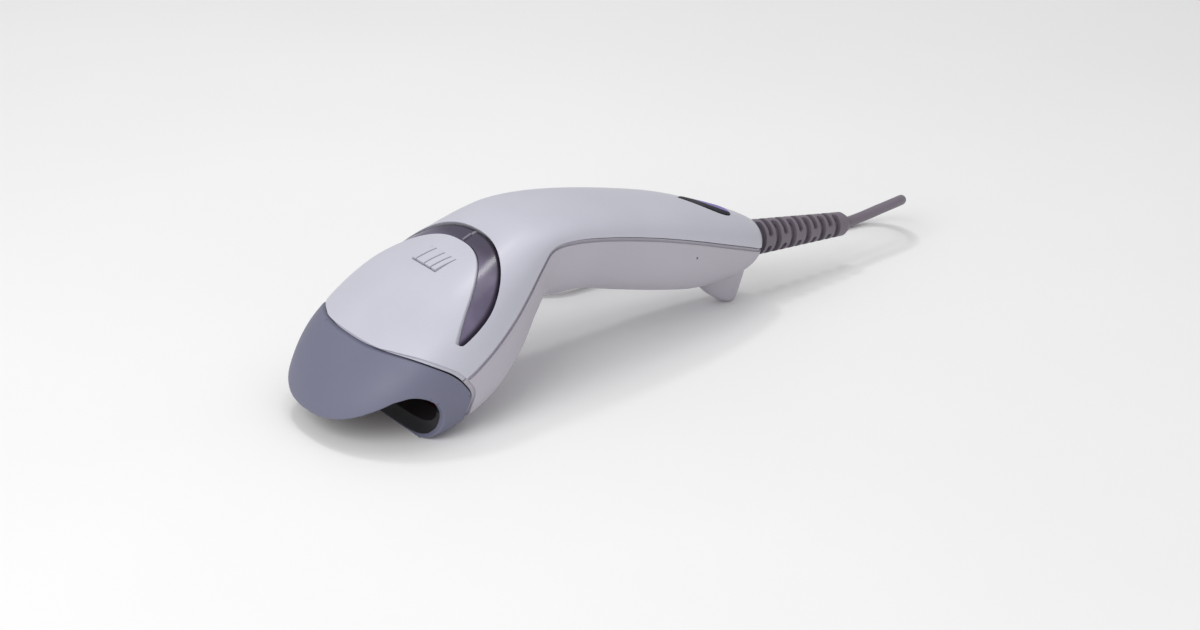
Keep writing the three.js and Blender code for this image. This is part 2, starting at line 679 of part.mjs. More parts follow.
const engine = new THREE.Group();
engine.rotation.x = HEAD_TILT;
engine.add(
  piece("engine_chassis", chassisShape(), DIE_CAST),
  piece("mirror_pin", bar(PIVOT_RADIUS, MIRROR_AT.x, MIRROR_AT.s, [31.5, 49.2], 12), STEEL),
  mirrorParts(),
  laserParts(),
  collector(),
  driveCoil(),
  piece("photodiode", box([12.6, 14.4], [-34, -28], [38, 44]), CHIP),
  piece("engine_board", box(ENGINE_BOARD_X, ENGINE_BOARD_S, ENGINE_BOARD_N), BOARD_GREEN),
  piece("button_switch", switchShape(), CHIP),
  piece("switch_plunger", bar(PLUNGER_RADIUS, 0, SWITCH_S, PLUNGER_SPAN, 16), BLACK),
);
for (const [name, side] of [["left", 1], ["right", -1]]) {
  const led = box([side * 9 - 1.5, side * 9 + 1.5], [-6.9, -5.2], [51.1, 51.8]);
  engine.add(piece("status_led_" + name, led, CLEAR));
  const screw = piece("engine_screw_" + name, screwShape(ENGINE_SCREW.length).rotateX(Math.PI), STEEL);
  const seat = CHASSIS.floor + CHASSIS.wall + GAP;
  screw.position.set(side * ENGINE_SCREW.x, ENGINE_SCREW.s, seat + SCREW.headHeight);
  engine.add(screw);
}

// ---------- handle: board, jack and ribbon, in the handle's frame ----------

function boardShape() {
  const { half, rearHalf, front, waist, rear, bottom, top } = BOARD;
  const edge = [
    [-half, front],
    [half, front],
    [half, waist],
    [rearHalf, waist + 8],
    [rearHalf, rear],
    [-rearHalf, rear],
    [-rearHalf, waist + 8],
    [-half, waist],
  ];
  const board = solid(extruded(edge, top - bottom).translate(0, 0, (top + bottom) / 2));
  return board.subtract(solid(bar(POST_RADIUS + 0.6, 0, HANDLE_SCREW.y, [-20, 20], 16)));
}

function jackShape() {
  const { half, front, rear, bottom, top } = JACK;
  const across = [-PLUG.half - GAP, PLUG.half + GAP];
  const upright = [PLUG.bottom - GAP, PLUG.top + GAP];
  const socket = box(across, [PLUG.front - GAP, rear + 1], upright);
  return solid(box([-half, half], [front, rear], [bottom, top])).subtract(solid(socket));
}

// A flat strip along a line in the (Y, Z) plane.
function strip(line, thickness, width) {
  const half = thickness / 2;
  const normals = line.map((_, k) => {
    const [from, to] = [line[Math.max(k - 1, 0)], line[Math.min(k + 1, line.length - 1)]];
    const length = Math.hypot(to[0] - from[0], to[1] - from[1]);
    return [-(to[1] - from[1]) / length, (to[0] - from[0]) / length];
  });
  const side = (sign) =>
    line.map(([y, z], k) => [y + sign * half * normals[k][0], z + sign * half * normals[k][1]]);
  return acrossCase([...side(-1), ...side(1).reverse()], width);
}

const RIBBON_LINE = curveThrough([
  [-32.4, 40.6],
  [-29.1, 42.5],
  [-25.3, 43.9],
  [-18, 44.3],
  [-10, 43.2],
  [-3, 41.0],
  [1.3, 39.1],
  [5.1, 38.0],
], 20);

const handle = new THREE.Group();
handle.position.copy(HANDLE_ORIGIN);
handle.rotation.x = HANDLE_TILT;
handle.add(
  piece("decode_board", boardShape(), BOARD_GREEN),
  piece("decoder_chip", box([-6, 6], [-3, 9], [BOARD.top + GAP, BOARD.top + 1.9]), CHIP),
  piece("beeper", bar(5.5, 0, -11, [BOARD.top + GAP, BOARD.top + 5], 20), CHIP),
  piece("cable_jack", jackShape(), CHIP),
  piece("cable_plug", box(PLUG_X, [PLUG.front, PLUG.rear], [PLUG.bottom, PLUG.top]), CLEAR),
);

// ---------- strain relief and cord ----------
// The boot is turned about its own axis: a flange inside the tail, a neck through the end wall,
// then a long taper with ring slots.

function bootRadius(z) {
  return THREE.MathUtils.mapLinear(z, BOOT.start, BOOT.end, BOOT.rootRadius, BOOT.tipRadius);
}

function bootShape() {
  const profile = [
    [0, BOOT.flange],
    [5.0, BOOT.flange],
    [5.0, BOOT.flange + 2.2],
    [BOOT_NECK, BOOT.flange + 2.2],
    [BOOT_NECK, BOOT.start],
    [BOOT.rootRadius, BOOT.start],
  ];
  for (let k = 0; k < SLOTS.count; k++) {
    const from = SLOTS.first + k * SLOTS.pitch;
    const to = from + SLOTS.width;
    profile.push([bootRadius(from), from], [bootRadius(from) - SLOTS.depth, from]);
    profile.push([bootRadius(to) - SLOTS.depth, to], [bootRadius(to), to]);
  }
  const tip = BOOT.end - BOOT_CONE.length;
  profile.push([bootRadius(tip), tip], [BOOT_CONE.radius, BOOT.end], [0, BOOT.end]);
  return turned(profile, 16).rotateX(-Math.PI / 2);
}

const boot = piece("strain_relief", bootShape(), GREY_VINYL);
boot.position.copy(BOOT_ROOT);
boot.rotation.x = BOOT_TILT;

// A round section carried along the route; 8 sides.
function cordTube(route, steps) {
  const section = new THREE.Shape();
  for (let k = 0; k < 8; k++) {
    const turn = (Math.PI * (2 * k + 1)) / 8;
    const point = [CORD_RADIUS * Math.cos(turn), CORD_RADIUS * Math.sin(turn)];
    if (k === 0) section.moveTo(...point);
    else section.lineTo(...point);
  }
  const path = new THREE.CatmullRomCurve3(route.map(([x, y, z]) => new THREE.Vector3(x, y, z)));
  return new THREE.ExtrudeGeometry(section, { steps, bevelEnabled: false, extrudePath: path });
}

// Out of the boot, round in a drooping bend behind the tail, and forward along the table to the coil.
const CORD_RUN = [
  [0, 118.95, 14.25],
  [-0.5, 124, 14.25],
  [-1.2, 130, 14.3],
  [-2.1, 137, 14.5],
  [-2.8, 142.7, 14.6],
  [-4.8, 148.3, 13.9],
  [-8.8, 152.1, 11.7],
  [-13.8, 153.1, 8.5],
  [-18.4, 151, 5.4],
  [-21.3, 146.5, 3],
  [-22, 140.5, 1.95],
  [-24, 131, 1.8],
  [-26.8, 122.5, 1.8],
  [-29.5, 114.5, 1.8],
  [-31.8, 105.5, 1.8],
  [-33.6, 95, 1.8],
  [-34.4, 84, 1.8],
  [-34.5, 76, 1.8],
  [-34.5, 67.2, 1.8],
];
const CORD_END = [
  [-34.5, 36.8, 5.0],
  [-34.9, 30, 4.5],
  [-36.5, 25.4, 4.2],
  [-39.5, 21.2, 4],
  [-42.2, 17.5, 3.9],
  [-43.6, 14.8, 3.9],
  [-44, 12.4, 3.9],
];
const STUB = [
  [0, 62.39, 25.64],
  [0, 63.9, 24.87],
  [0, 65.48, 23.14],
  [0, 67.17, 20.8],
  [0, 68.65, 20.22],
];

// USB plug lying on the table, its contacts towards -Y.

function usbParts() {
  const plug = new THREE.Group();
  plug.position.set(USB.x, 0, USB.axis);
  const side = USB_BODY.half;
  const grip = [
    [-side, USB.front],
    [side, USB.front],
    [side, USB.rear - 8],
    [side - 3.2, USB.rear],
    [-side + 3.2, USB.rear],
    [-side, USB.rear - 8],
  ];
  const { half, height } = USB_SHELL;
  const shellOuter = box([-half, half], [USB.tip, USB.front + 2.7], [-height / 2, height / 2]);
  const inHalf = half - USB_SHELL.wall;
  const inHeight = height / 2 - USB_SHELL.wall;
  const shellInner = box([-inHalf, inHalf], [USB.tip - 1, USB.front + 1.5], [-inHeight, inHeight]);
  const seatHeight = [-height / 2 - GAP, height / 2 + GAP];
  const seat = box([-half - GAP, half + GAP], [USB.front - 1, USB.front + 3], seatHeight);
  const body = solid(extruded(grip, USB_BODY.height)).subtract(solid(seat));
  const inside = [USB.tip + 0.6, USB.front + 1.2];
  const tongue = box([-inHalf + GAP, inHalf - GAP], inside, [0, inHeight - GAP]);
  plug.add(
    piece("usb_overmould", body, GREY_VINYL),
    piece("usb_shell", solid(shellOuter).subtract(solid(shellInner)), STEEL),
    piece("usb_contact_block", tongue, CLEAR),
  );
  return plug;
}

// The coil is one plain ring, thinned on its underside where the tie passes.
function coilShape() {
  const ring = turned([
    [COIL_INNER, 0],
    [COIL_OUTER, 0],
    [COIL_OUTER, COIL_HEIGHT],
    [COIL_INNER, COIL_HEIGHT],
    [COIL_INNER, 0],
  ], 36);
  const tieBed = box([-TIE_WIDTH / 2 - GAP, TIE_WIDTH / 2 + GAP], [-40, 0], [-1, TIE_THICKNESS + GAP]);
  return solid(ring).subtract(solid(tieBed));
}

function tieShape() {
  const [inner, outer] = [COIL_INNER - GAP, COIL_OUTER + GAP];
  const t = TIE_THICKNESS;
  const top = COIL_HEIGHT + t + GAP; // the turns rise over the band's underside
  const band = solid(box([-TIE_WIDTH / 2, TIE_WIDTH / 2], [-outer - t, -inner + t + 1], [0, top + t]));
  const opening = box([-TIE_WIDTH, TIE_WIDTH], [-outer, -inner + 1], [t, top]);
  return band.subtract(solid(opening));
}

const coil = new THREE.Group();
coil.position.copy(COIL_CENTRE);
coil.add(piece("cord_coil", coilShape(), GREY_VINYL), piece("cord_tie", tieShape(), BLACK));

const scanner = new THREE.Group();
scanner.position.y = CENTRE_SHIFT;
scanner.add(
  piece("top_cover", topCover, CASE_TOP),
  piece("bottom_cover", bottomCover, CASE_BOTTOM),
  piece("nose_bumper", nose, NOSE_RUBBER),
  piece("nose_liner", liner, BLACK),
  piece("exit_window", exitWindow, DEEP_RED),
  piece("light_guide", lightGuide, SMOKE),
  piece("scan_button", scanButton, CASE_TOP),
  piece("name_badge", badge, BLACK),
  engine,
  handle,
  piece("ribbon_cable", strip(RIBBON_LINE, 0.3, 10), CLEAR),
  boot,
  piece("cord_stub", cordTube(STUB, 3), GREY_VINYL),
  piece("cord_run", cordTube(CORD_RUN, 34), GREY_VINYL),
  coil,
  piece("cord_end", cordTube(CORD_END, 8), GREY_VINYL),
  usbParts(),
);
for (const [name, frame] of Object.entries(screwFrames)) {
  scanner.add(piece(name, screwShape().applyMatrix4(frame), STEEL));
}

export default scanner;
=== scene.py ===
"""A handheld barcode scanner and its coiled cord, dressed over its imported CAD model.

Sizes and places below are in millimetres, in the scanner's own frame: +Y from the mouth to the
boot, +Z up. They become metres in the row frame when a mesh is finished.
"""

import math

import bmesh
import bpy
import numpy as np
from mathutils import Matrix, Vector
from mathutils.bvhtree import BVHTree
from mathutils.interpolate import poly_3d_calc


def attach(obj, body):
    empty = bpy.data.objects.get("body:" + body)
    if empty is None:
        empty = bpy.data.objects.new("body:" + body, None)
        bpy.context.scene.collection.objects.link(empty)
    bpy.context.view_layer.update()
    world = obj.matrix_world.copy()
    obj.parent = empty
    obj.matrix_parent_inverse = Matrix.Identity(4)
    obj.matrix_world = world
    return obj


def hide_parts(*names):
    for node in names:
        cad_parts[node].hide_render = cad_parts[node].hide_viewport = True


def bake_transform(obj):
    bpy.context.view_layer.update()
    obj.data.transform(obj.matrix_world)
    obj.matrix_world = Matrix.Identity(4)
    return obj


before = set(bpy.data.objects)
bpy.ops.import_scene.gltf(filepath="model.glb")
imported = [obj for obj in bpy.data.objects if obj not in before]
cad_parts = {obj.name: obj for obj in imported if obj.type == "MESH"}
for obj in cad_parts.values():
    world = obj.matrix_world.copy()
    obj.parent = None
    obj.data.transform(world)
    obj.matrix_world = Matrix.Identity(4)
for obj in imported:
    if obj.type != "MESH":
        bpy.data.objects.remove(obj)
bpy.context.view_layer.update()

CASE = "case"
CENTRE_SHIFT = 4.3  # moves the body's middle to Y = 0
TO_ROW = Matrix.Scale(0.001, 4) @ Matrix.Translation((0, CENTRE_SHIFT, 0))

# ---------- camera ----------
AZIMUTH = math.radians(53.5)
ELEVATION = math.radians(24.5)
CAMERA_AT = (518.3, -365.5, 302.0)
LENS = 69.0  # on a 36 mm wide sensor

camera = bpy.data.objects.new("camera", bpy.data.cameras.new("camera"))
camera.data.lens = LENS
camera.data.sensor_width = 36.0
camera.location = TO_ROW @ Vector(CAMERA_AT)
camera.rotation_euler = (math.pi / 2 - ELEVATION, 0, AZIMUTH)
bpy.context.scene.collection.objects.link(camera)
bpy.context.scene.camera = camera

# ---------- cord ----------
CORD_RADIUS = 1.75
COIL_CENTRE = (-66.0, 52.0)
COIL_TURNS = 6
COIL_OUTSIDE = 31.5  # the cord's middle line in the outermost turn
COIL_PITCH = 2 * CORD_RADIUS
TIE_LIFT = 0.95  # the turns rise over the strap that ties them
TIE_REACH, TIE_RAMP = 14.0, 8.5  # where the rise starts, and over what length it comes up
CORD_RUN = [
    (0, 118.55, 14.3),
    (-0.5, 124, 14.25),
    (-1.2, 130, 14.3),
    (-2.1, 137, 14.5),
    (-2.8, 142.7, 14.6),
    (-4.8, 148.3, 13.9),
    (-8.8, 152.1, 11.7),
    (-13.8, 153.1, 8.5),
    (-18.4, 151, 5.4),
    (-21.3, 146.5, 3),
    (-22, 140.5, 1.95),
    (-24, 131, 1.8),
    (-26.8, 122.5, 1.8),
    (-29.5, 114.5, 1.8),
    (-31.8, 105.5, 1.8),
    (-33.6, 95, 1.8),
    (-34.4, 84, 1.8),
    (-34.5, 76, 1.8),
    (-34.5, 67.2, 1.8),
]
CORD_END = [
    (-34.5, 36.8, 5.0),
    (-34.9, 30, 4.5),
    (-36.5, 25.4, 4.2),
    (-39.5, 21.2, 4),
    (-42.2, 17.5, 3.9),
    (-43.6, 14.8, 3.9),
    (-44, 11.8, 3.9),
]


def through(points, steps):
    """Points along the centripetal Catmull-Rom curve through the given ones."""
    line = [Vector(p) for p in points]
    line = [2 * line[0] - line[1], *line, 2 * line[-1] - line[-2]]
    knots = [0.0]
    for p, q in zip(line, line[1:]):
        knots.append(knots[-1] + math.sqrt((q - p).length))
    made = []
    for i in range(1, len(line) - 2):
        k0, k1, k2, k3 = knots[i - 1 : i + 3]
        for j in range(steps):
            t = k1 + (k2 - k1) * j / steps
            a = line[i - 1].lerp(line[i], (t - k0) / (k1 - k0))
            b = line[i].lerp(line[i + 1], (t - k1) / (k2 - k1))
            c = line[i + 1].lerp(line[i + 2], (t - k2) / (k3 - k2))
            d = a.lerp(b, (t - k0) / (k2 - k0))
            e = b.lerp(c, (t - k1) / (k3 - k1))
            made.append(d.lerp(e, (t - k1) / (k2 - k1)))
    return [*made, line[-2]]


def coil_points():
    """Six turns inwards on the table, then six outwards on top of them."""
    steps = 32
    inner = COIL_OUTSIDE - COIL_TURNS * COIL_PITCH
    low, high = CORD_RADIUS + 0.05, 3 * CORD_RADIUS
    points = []
    for k in range(2 * COIL_TURNS * steps + 1):
        turns = k / steps
        if turns <= COIL_TURNS:
            radius = COIL_OUTSIDE - turns * COIL_PITCH
        else:
            radius = inner + (turns - COIL_TURNS) * COIL_PITCH
        climb = min(max((turns - COIL_TURNS + 0.25) / 0.5, 0), 1)
        height = low + (high - low) * climb * climb * (3 - 2 * climb)
        past_tie = 2 * math.pi * radius * abs(turns % 1 - 0.25)
        fade = min(max((TIE_REACH - past_tie) / TIE_RAMP, 0), 1)
        height += TIE_LIFT * fade * fade * (3 - 2 * fade)
        angle = -2 * math.pi * turns
        x = COIL_CENTRE[0] + radius * math.cos(angle)
        y = COIL_CENTRE[1] + radius * math.sin(angle)
        points.append((x, y, height))
    return points


def smooth_join(points, passes=3):
    """Evens out the line where the straight runs meet the coil."""
    line = np.array([tuple(p) for p in points])
    for _ in range(passes):
        line[1:-1] = 0.25 * line[:-2] + 0.5 * line[1:-1] + 0.25 * line[2:]
    return line


def poly_curve(name, points, radius):
    curve = bpy.data.curves.new(name, "CURVE")
    curve.dimensions = "3D"
    spline = curve.splines.new("POLY")
    spline.points.add(len(points) - 1)
    for point, at in zip(spline.points, points):
        point.co = (*(TO_ROW @ Vector(at)), 1)
    curve.bevel_depth = radius * 0.001
    curve.bevel_resolution = 5
    curve.use_fill_caps = True
    made = bpy.data.objects.new(name, curve)
    bpy.context.scene.collection.objects.link(made)
    return made


cord_line = smooth_join([*through(CORD_RUN, 6), *coil_points()[1:-1], *through(CORD_END, 6)])
cord = poly_curve("cord", cord_line, CORD_RADIUS)

# ---------- the case's surface: the same stations as the CAD model's ----------
HEAD_TILT = math.radians(30)
HEAD = Matrix.Rotation(HEAD_TILT, 4, "X")
HANDLE = Matrix.Translation((0, 24, 38.2)) @ Matrix.Rotation(math.radians(-16), 4, "X")
BOOT = Matrix.Translation((0, 83.4, 18.5)) @ Matrix.Rotation(math.radians(-6.8 - 90), 4, "X")
SIDEWAYS = Matrix.Rotation(math.pi / 2, 4, "Y")
SIDE_ON = Matrix(((0, 0, 1, 0), (1, 0, 0, 0), (0, 1, 0, 0), (0, 0, 0, 1)))
GAP = 0.3
COVER_WALL = 2.2
NOSE_WALL = 2.2
REACH = 120.0
# distance along the head, parting height, half width, top, bottom, upper and lower exponents
HEAD_STATIONS = [
    (-74.3, 41.0, 0.0, 41.0, 41.0, 2.3, 3.0),
    (-73.6, 41.0, 8.4, 45.2, 37.0, 2.3, 3.0),
    (-72.0, 41.0, 13.2, 48.0, 35.0, 2.3, 3.5),
    (-69.4, 41.0, 17.8, 50.7, 33.5, 2.3, 4.0),
    (-65.5, 41.0, 21.8, 53.2, 32.4, 2.4, 4.6),
    (-60.5, 41.0, 25.2, 55.3, 31.6, 2.5, 5.2),
    (-55.0, 41.0, 27.9, 57.0, 30.8, 2.6, 5.5),
    (-49.5, 41.2, 29.6, 58.1, 28.8, 2.7, 5.5),
    (-44.0, 41.4, 30.6, 58.8, 27.3, 2.7, 5.3),
    (-37.0, 41.5, 31.0, 59.2, 26.4, 2.8, 5.0),
    (-30.0, 41.4, 30.9, 59.1, 26.0, 2.9, 4.6),
    (-22.0, 41.6, 29.8, 58.4, 26.1, 3.0, 4.0),
    (-13.0, 41.9, 27.4, 57.1, 27.2, 3.0, 3.3),
    (-4.5, 42.5, 24.3, 55.6, 29.2, 3.0, 2.8),
]
# Y and Z of the parting line, lean in degrees, half width, rise, drop, exponents
HANDLE_STATIONS = [
    (-17.6, 40.8, 13, 21.1, 9.4, 16.3, 2.8, 2.5),
    (-12.5, 44.6, 5, 19.7, 6.4, 20.5, 2.5, 2.4),
    (-4.0, 44.6, -4, 19.0, 6.6, 21.4, 2.4, 2.4),
    (8.0, 42.4, -11, 18.6, 7.7, 20.2, 2.2, 2.4),
    (24.0, 38.2, -15, 18.0, 8.5, 20.7, 2.2, 2.4),
    (40.0, 33.0, -18, 17.0, 9.3, 20.1, 2.2, 2.4),
    (55.0, 27.4, -21, 15.3, 9.0, 18.3, 2.2, 2.3),
    (66.0, 23.0, -22, 13.0, 8.4, 14.4, 2.1, 2.2),
    (73.0, 20.0, -20, 10.6, 7.6, 10.4, 2.0, 2.0),
    (76.2, 19.0, -12, 7.6, 6.6, 6.5, 2.0, 2.0),
]
# As in the CAD model, but up to 0.6 farther forward near its top end.
SEAM = [
    (-42.5, 20), (-40.9, 31), (-36.4, 35.8), (-36.3, 40.4), (-37.5, 45.4),
    (-40.5, 50.8), (-43.4, 54.5), (-46.6, 57.0), (-48.4, 57.9), (-52.5, 62),
]
MOUTH_EDGE = [
    (-54, 31.2), (-49.3, 33.5), (-46.4, 37.3), (-46.2, 41.6),
    (-48.0, 45.3), (-50.8, 47.8), (-55, 49.0),
]


def head_row(row):
    s, part, half, top, bottom, upper, lower = row
    at = HEAD @ Vector((0, s, part))
    return (at.y, at.z, math.degrees(HEAD_TILT), half, top - part, part - bottom, upper, lower)


STATIONS = np.array([*map(head_row, HEAD_STATIONS), *HANDLE_STATIONS])
LAST = len(STATIONS) - 1


def station_at(t):
    """The loft's row at a place between two stations."""
    i = min(int(t), LAST - 1)
    p1, p2 = STATIONS[i], STATIONS[i + 1]
    p0 = STATIONS[i - 1] if i else 2 * p1 - p2
    p3 = STATIONS[i + 2] if i + 2 <= LAST else 2 * p2 - p1
    u = t - i
    square = (2 * p0 - 5 * p1 + 4 * p2 - p3) * u * u
    cube = (-p0 + 3 * p1 - 3 * p2 + p3) * u**3
    return 0.5 * (2 * p1 + (p2 - p0) * u + square + cube)


def half_section(width, reach, power, count):
    """A quarter and its mirror image, from +X over the middle to -X, evenly spaced."""
    turn = np.linspace(0, math.pi, 721)
    x = width * np.sign(np.cos(turn)) * np.abs(np.cos(turn)) ** (2 / power)
    h = reach * np.sin(turn) ** (2 / power)
    along = np.concatenate([[0], np.cumsum(np.hypot(np.diff(x), np.diff(h)))])
    even = np.linspace(0, along[-1], count + 1)
    return np.interp(even, along, x), np.interp(even, along, h)


def section(t, inset, count):
    y, z, lean, half, rise, drop, upper, lower = station_at(t)
    angle = math.radians(lean)
    width = max(half - inset, 0.001)
    x_top, h_top = half_section(width, rise - inset, upper, count)
    x_low, h_low = half_section(width, drop - inset, lower, count)
    x = np.concatenate([x_top[:-1], -x_low[:-1]])
    h = np.concatenate([h_top[:-1], -h_low[:-1]])
    return np.column_stack([x, y - math.sin(angle) * h, z + math.cos(angle) * h])


def mesh_of(name, points, faces):
    mesh = bpy.data.meshes.new(name)
    mesh.from_pydata([tuple(p) for p in points], [], faces)
    mesh.update()
    return mesh


def tube_faces(rings, around, closed=False):
    """Faces of a tube given ring by ring; it is closed into a loop, or capped at both ends."""
    faces = []
    for i in range(rings if closed else rings - 1):
        j = (i + 1) % rings
        for k in range(around):
            n = (k + 1) % around
            faces.append((i * around + k, j * around + k, j * around + n, i * around + n))
    if not closed:
        faces.append(tuple(range(around)))
        faces.append(tuple(range(rings * around - 1, (rings - 1) * around - 1, -1)))
    return faces


def facing_out(mesh):
    """Turns every face over if the closed mesh's volume comes out negative."""
    made = bmesh.new()
    made.from_mesh(mesh)
    if made.calc_volume(signed=True) < 0:
        bmesh.ops.reverse_faces(made, faces=made.faces)
        made.to_mesh(mesh)
    made.free()
    return mesh


def loft(inset, start=0.1, stop=LAST, rings=200, count=48):
    rows = [section(start + (stop - start) * i / rings, inset, count) for i in range(rings + 1)]
    return facing_out(mesh_of("loft", np.concatenate(rows), tube_faces(rings + 1, 2 * count)))


def prism(outline, low, high, place):
    """An outline in (x, y), carried along z from low to high, then put in place."""
    count = len(outline)
    points = [place @ Vector((x, y, z)) for z in (low, high) for x, y in outline]
    return facing_out(mesh_of("prism", points, tube_faces(2, count)))


def across(outline, place=Matrix.Identity(4), half=REACH / 2):
    """An outline in (Y, Z), carried right across along X."""
    return prism(outline, -half, half, place @ SIDE_ON)


def block(x, y, z, place=Matrix.Identity(4)):
    return prism([(x[0], y[0]), (x[1], y[0]), (x[1], y[1]), (x[0], y[1])], z[0], z[1], place)


def rod(radius, low, high, place, sides=32):
    turns = [2 * math.pi * k / sides for k in range(sides)]
    return prism([(radius * math.cos(a), radius * math.sin(a)) for a in turns], low, high, place)


def combine(first, second, operation):
    """Joins, cuts or crosses two closed meshes."""
    base, tool = (bpy.data.objects.new("solid", mesh) for mesh in (first, second))
    for solid in (base, tool):
        bpy.context.scene.collection.objects.link(solid)
    step = base.modifiers.new("step", "BOOLEAN")
    step.solver = "MANIFOLD"
    step.operation = operation
    step.object = tool
    graph = bpy.context.evaluated_depsgraph_get()
    made = bpy.data.meshes.new_from_object(base.evaluated_get(graph))
    for solid in (base, tool):
        bpy.data.objects.remove(solid)
    return made


def cut(first, *others):
    for other in others:
        first = combine(first, other, "DIFFERENCE")
    return first


def cross(first, *others):
    for other in others:
        first = combine(first, other, "INTERSECT")
    return first


def join(first, *others):
    for other in others:
        first = combine(first, other, "UNION")
    return first


class Skin:
    """A loft's smooth normals, looked up by place."""

    def __init__(self, mesh):
        self.points = [v.co.copy() for v in mesh.vertices]
        self.normals = [v.normal.copy() for v in mesh.vertices]
        self.faces = [tuple(f.vertices) for f in mesh.polygons]
        self.tree = BVHTree.FromPolygons(self.points, self.faces)

    def at(self, place):
        """The nearest point's distance and its smooth normal."""
        spot, _, face, distance = self.tree.find_nearest(place)
        corners = self.faces[face]
        shares = poly_3d_calc([self.points[i] for i in corners], spot)
        normal = Vector((0, 0, 0))
        for share, i in zip(shares, corners):
            normal += share * self.normals[i]
        return distance, normal.normalized()


def lies_on(face, skin, reach=0.015):
    distance, normal = skin.at(face.calc_center_median())
    return distance < reach and normal.dot(face.normal) > 0.88


def edge_chains(mesh, skin, wanted):
    """Lines where a cut wall meets the skin, as lists of (place, wall normal), split at corners."""
    made = bmesh.new()
    made.from_mesh(mesh)
    bmesh.ops.remove_doubles(made, verts=made.verts, dist=0.004)
    bmesh.ops.dissolve_degenerate(made, edges=made.edges, dist=0.004)
    made.normal_update()
    on_skin = {face: lies_on(face, skin) for face in made.faces}
    walls = {}
    for edge in made.edges:
        if len(edge.link_faces) != 2:
            continue
        first, second = edge.link_faces
        if on_skin[first] == on_skin[second] or first.normal.angle(second.normal, 0) < 0.6:
            continue
        if not wanted((edge.verts[0].co + edge.verts[1].co) / 2):
            continue
        wall = second if on_skin[first] else first
        walls[edge] = wall.normal.copy()
    at_vertex = {}
    for edge in walls:
        for vertex in edge.verts:
            at_vertex.setdefault(vertex, []).append(edge)

    def is_corner(vertex):
        edges = at_vertex[vertex]
        if len(edges) != 2:
            return True
        a, b = ((e.other_vert(vertex).co - vertex.co).normalized() for e in edges)
        return a.dot(b) > -0.8 or walls[edges[0]].dot(walls[edges[1]]) < 0.8

    chains, used = [], set()
    starts = [v for v in at_vertex if is_corner(v)] + list(at_vertex)
    for start in starts:
        for edge in at_vertex[start]:
            if edge in used:
                continue
            places, normals, vertex = [start.co.copy()], [], start
            while edge is not None and edge not in used:
                used.add(edge)
                vertex = edge.other_vert(vertex)
                places.append(vertex.co.copy())
                normals.append(walls[edge])
                onward = [e for e in at_vertex[vertex] if e not in used]
                edge = onward[0] if onward and not is_corner(vertex) else None
            closed = vertex == start and len(places) > 8
            chains.append((places, normals, closed))
    made.free()
    return chains


def evenly(places, normals, closed, pitch):
    """The chain again with even spacing, and the wall's normal at each place."""
    line = np.array([tuple(p) for p in places])
    steps = np.linalg.norm(np.diff(line, axis=0), axis=1)
    along = np.concatenate([[0], np.cumsum(steps)])
    middle = (along[1:] + along[:-1]) / 2
    count = max(2, round(along[-1] / pitch))
    even = np.linspace(0, along[-1], count + 1)[: count if closed else count + 1]
    walls = np.array([tuple(n) for n in normals])
    spots = np.column_stack([np.interp(even, along, line[:, k]) for k in range(3)])
    facing = np.column_stack([np.interp(even, middle, walls[:, k]) for k in range(3)])
    return spots, facing


def rounding_tool(chain, skin, radius, pitch):
    """The sliver between a sharp edge and its rounding, carried along the chain."""
    spots, facing = evenly(*chain, pitch)
    if not chain[2]:
        first, last = spots[0] - spots[1], spots[-1] - spots[-2]
        spots[0] += 0.05 * first / np.linalg.norm(first)
        spots[-1] += 0.05 * last / np.linalg.norm(last)
    out = 0.25 * radius + 0.05
    points = []
    for spot, wall in zip(spots, facing):
        edge, wall = Vector(spot), Vector(wall).normalized()
        normal = skin.at(edge)[1]
        along_skin = -(wall - wall.dot(normal) * normal).normalized()
        along_wall = -(normal - normal.dot(wall) * wall).normalized()
        for k in range(7):
            u = k / 6
            bend = (1 - u) ** 2 * along_skin + u * u * along_wall
            lift = 0.006 * ((1 - u) ** 4 * normal + u**4 * wall)
            points.append(edge + radius * bend + lift)
        points.append(edge + radius * along_wall + out * wall)
        points.append(edge + out * (normal + wall))
        points.append(edge + radius * along_skin + out * normal)
    rings = len(spots)
    return facing_out(mesh_of("rounding", points, tube_faces(rings, 10, chain[2])))


def soften(mesh, skin, radius, wanted=lambda place: True, pitch=0.8):
    """Rounds the edges where the cuts meet the skin."""
    for chain in edge_chains(mesh, skin, wanted):
        length = sum((q - p).length for p, q in zip(chain[0], chain[0][1:]))
        if length > 2 * radius:
            mesh = cut(mesh, rounding_tool(chain, skin, radius, pitch))
    return mesh


def smooth_normals(mesh, skin=None, limit=38):
    """Corner normals: the skin's own where a face lies on it, and averages under the limit elsewhere."""
    made = bmesh.new()
    made.from_mesh(mesh)
    bmesh.ops.remove_doubles(made, verts=made.verts, dist=0.002)
    bmesh.ops.dissolve_degenerate(made, edges=made.edges, dist=0.001)
    made.normal_update()
    made.faces.ensure_lookup_table()
    made.to_mesh(mesh)
    least = math.cos(math.radians(limit))
    areas = [face.calc_area() for face in made.faces]
    normals = [face.normal.copy() for face in made.faces]
    on_skin = [skin is not None and lies_on(face, skin) for face in made.faces]
    known = {}
    corners = []
    for face in made.faces:
        for loop in face.loops:
            vertex = loop.vert
            if on_skin[face.index]:
                if vertex.index not in known:
                    known[vertex.index] = skin.at(vertex.co)[1]
                corners.append(known[vertex.index])
                continue
            total = Vector((0, 0, 0))
            for other in vertex.link_faces:
                if normals[other.index].dot(normals[face.index]) > least:
                    total += normals[other.index] * areas[other.index]
            corners.append(total.normalized() if total.length > 0 else normals[face.index])
    made.free()
    mesh.polygons.foreach_set("use_smooth", [True] * len(mesh.polygons))
    mesh.normals_split_custom_set(corners)
    return mesh


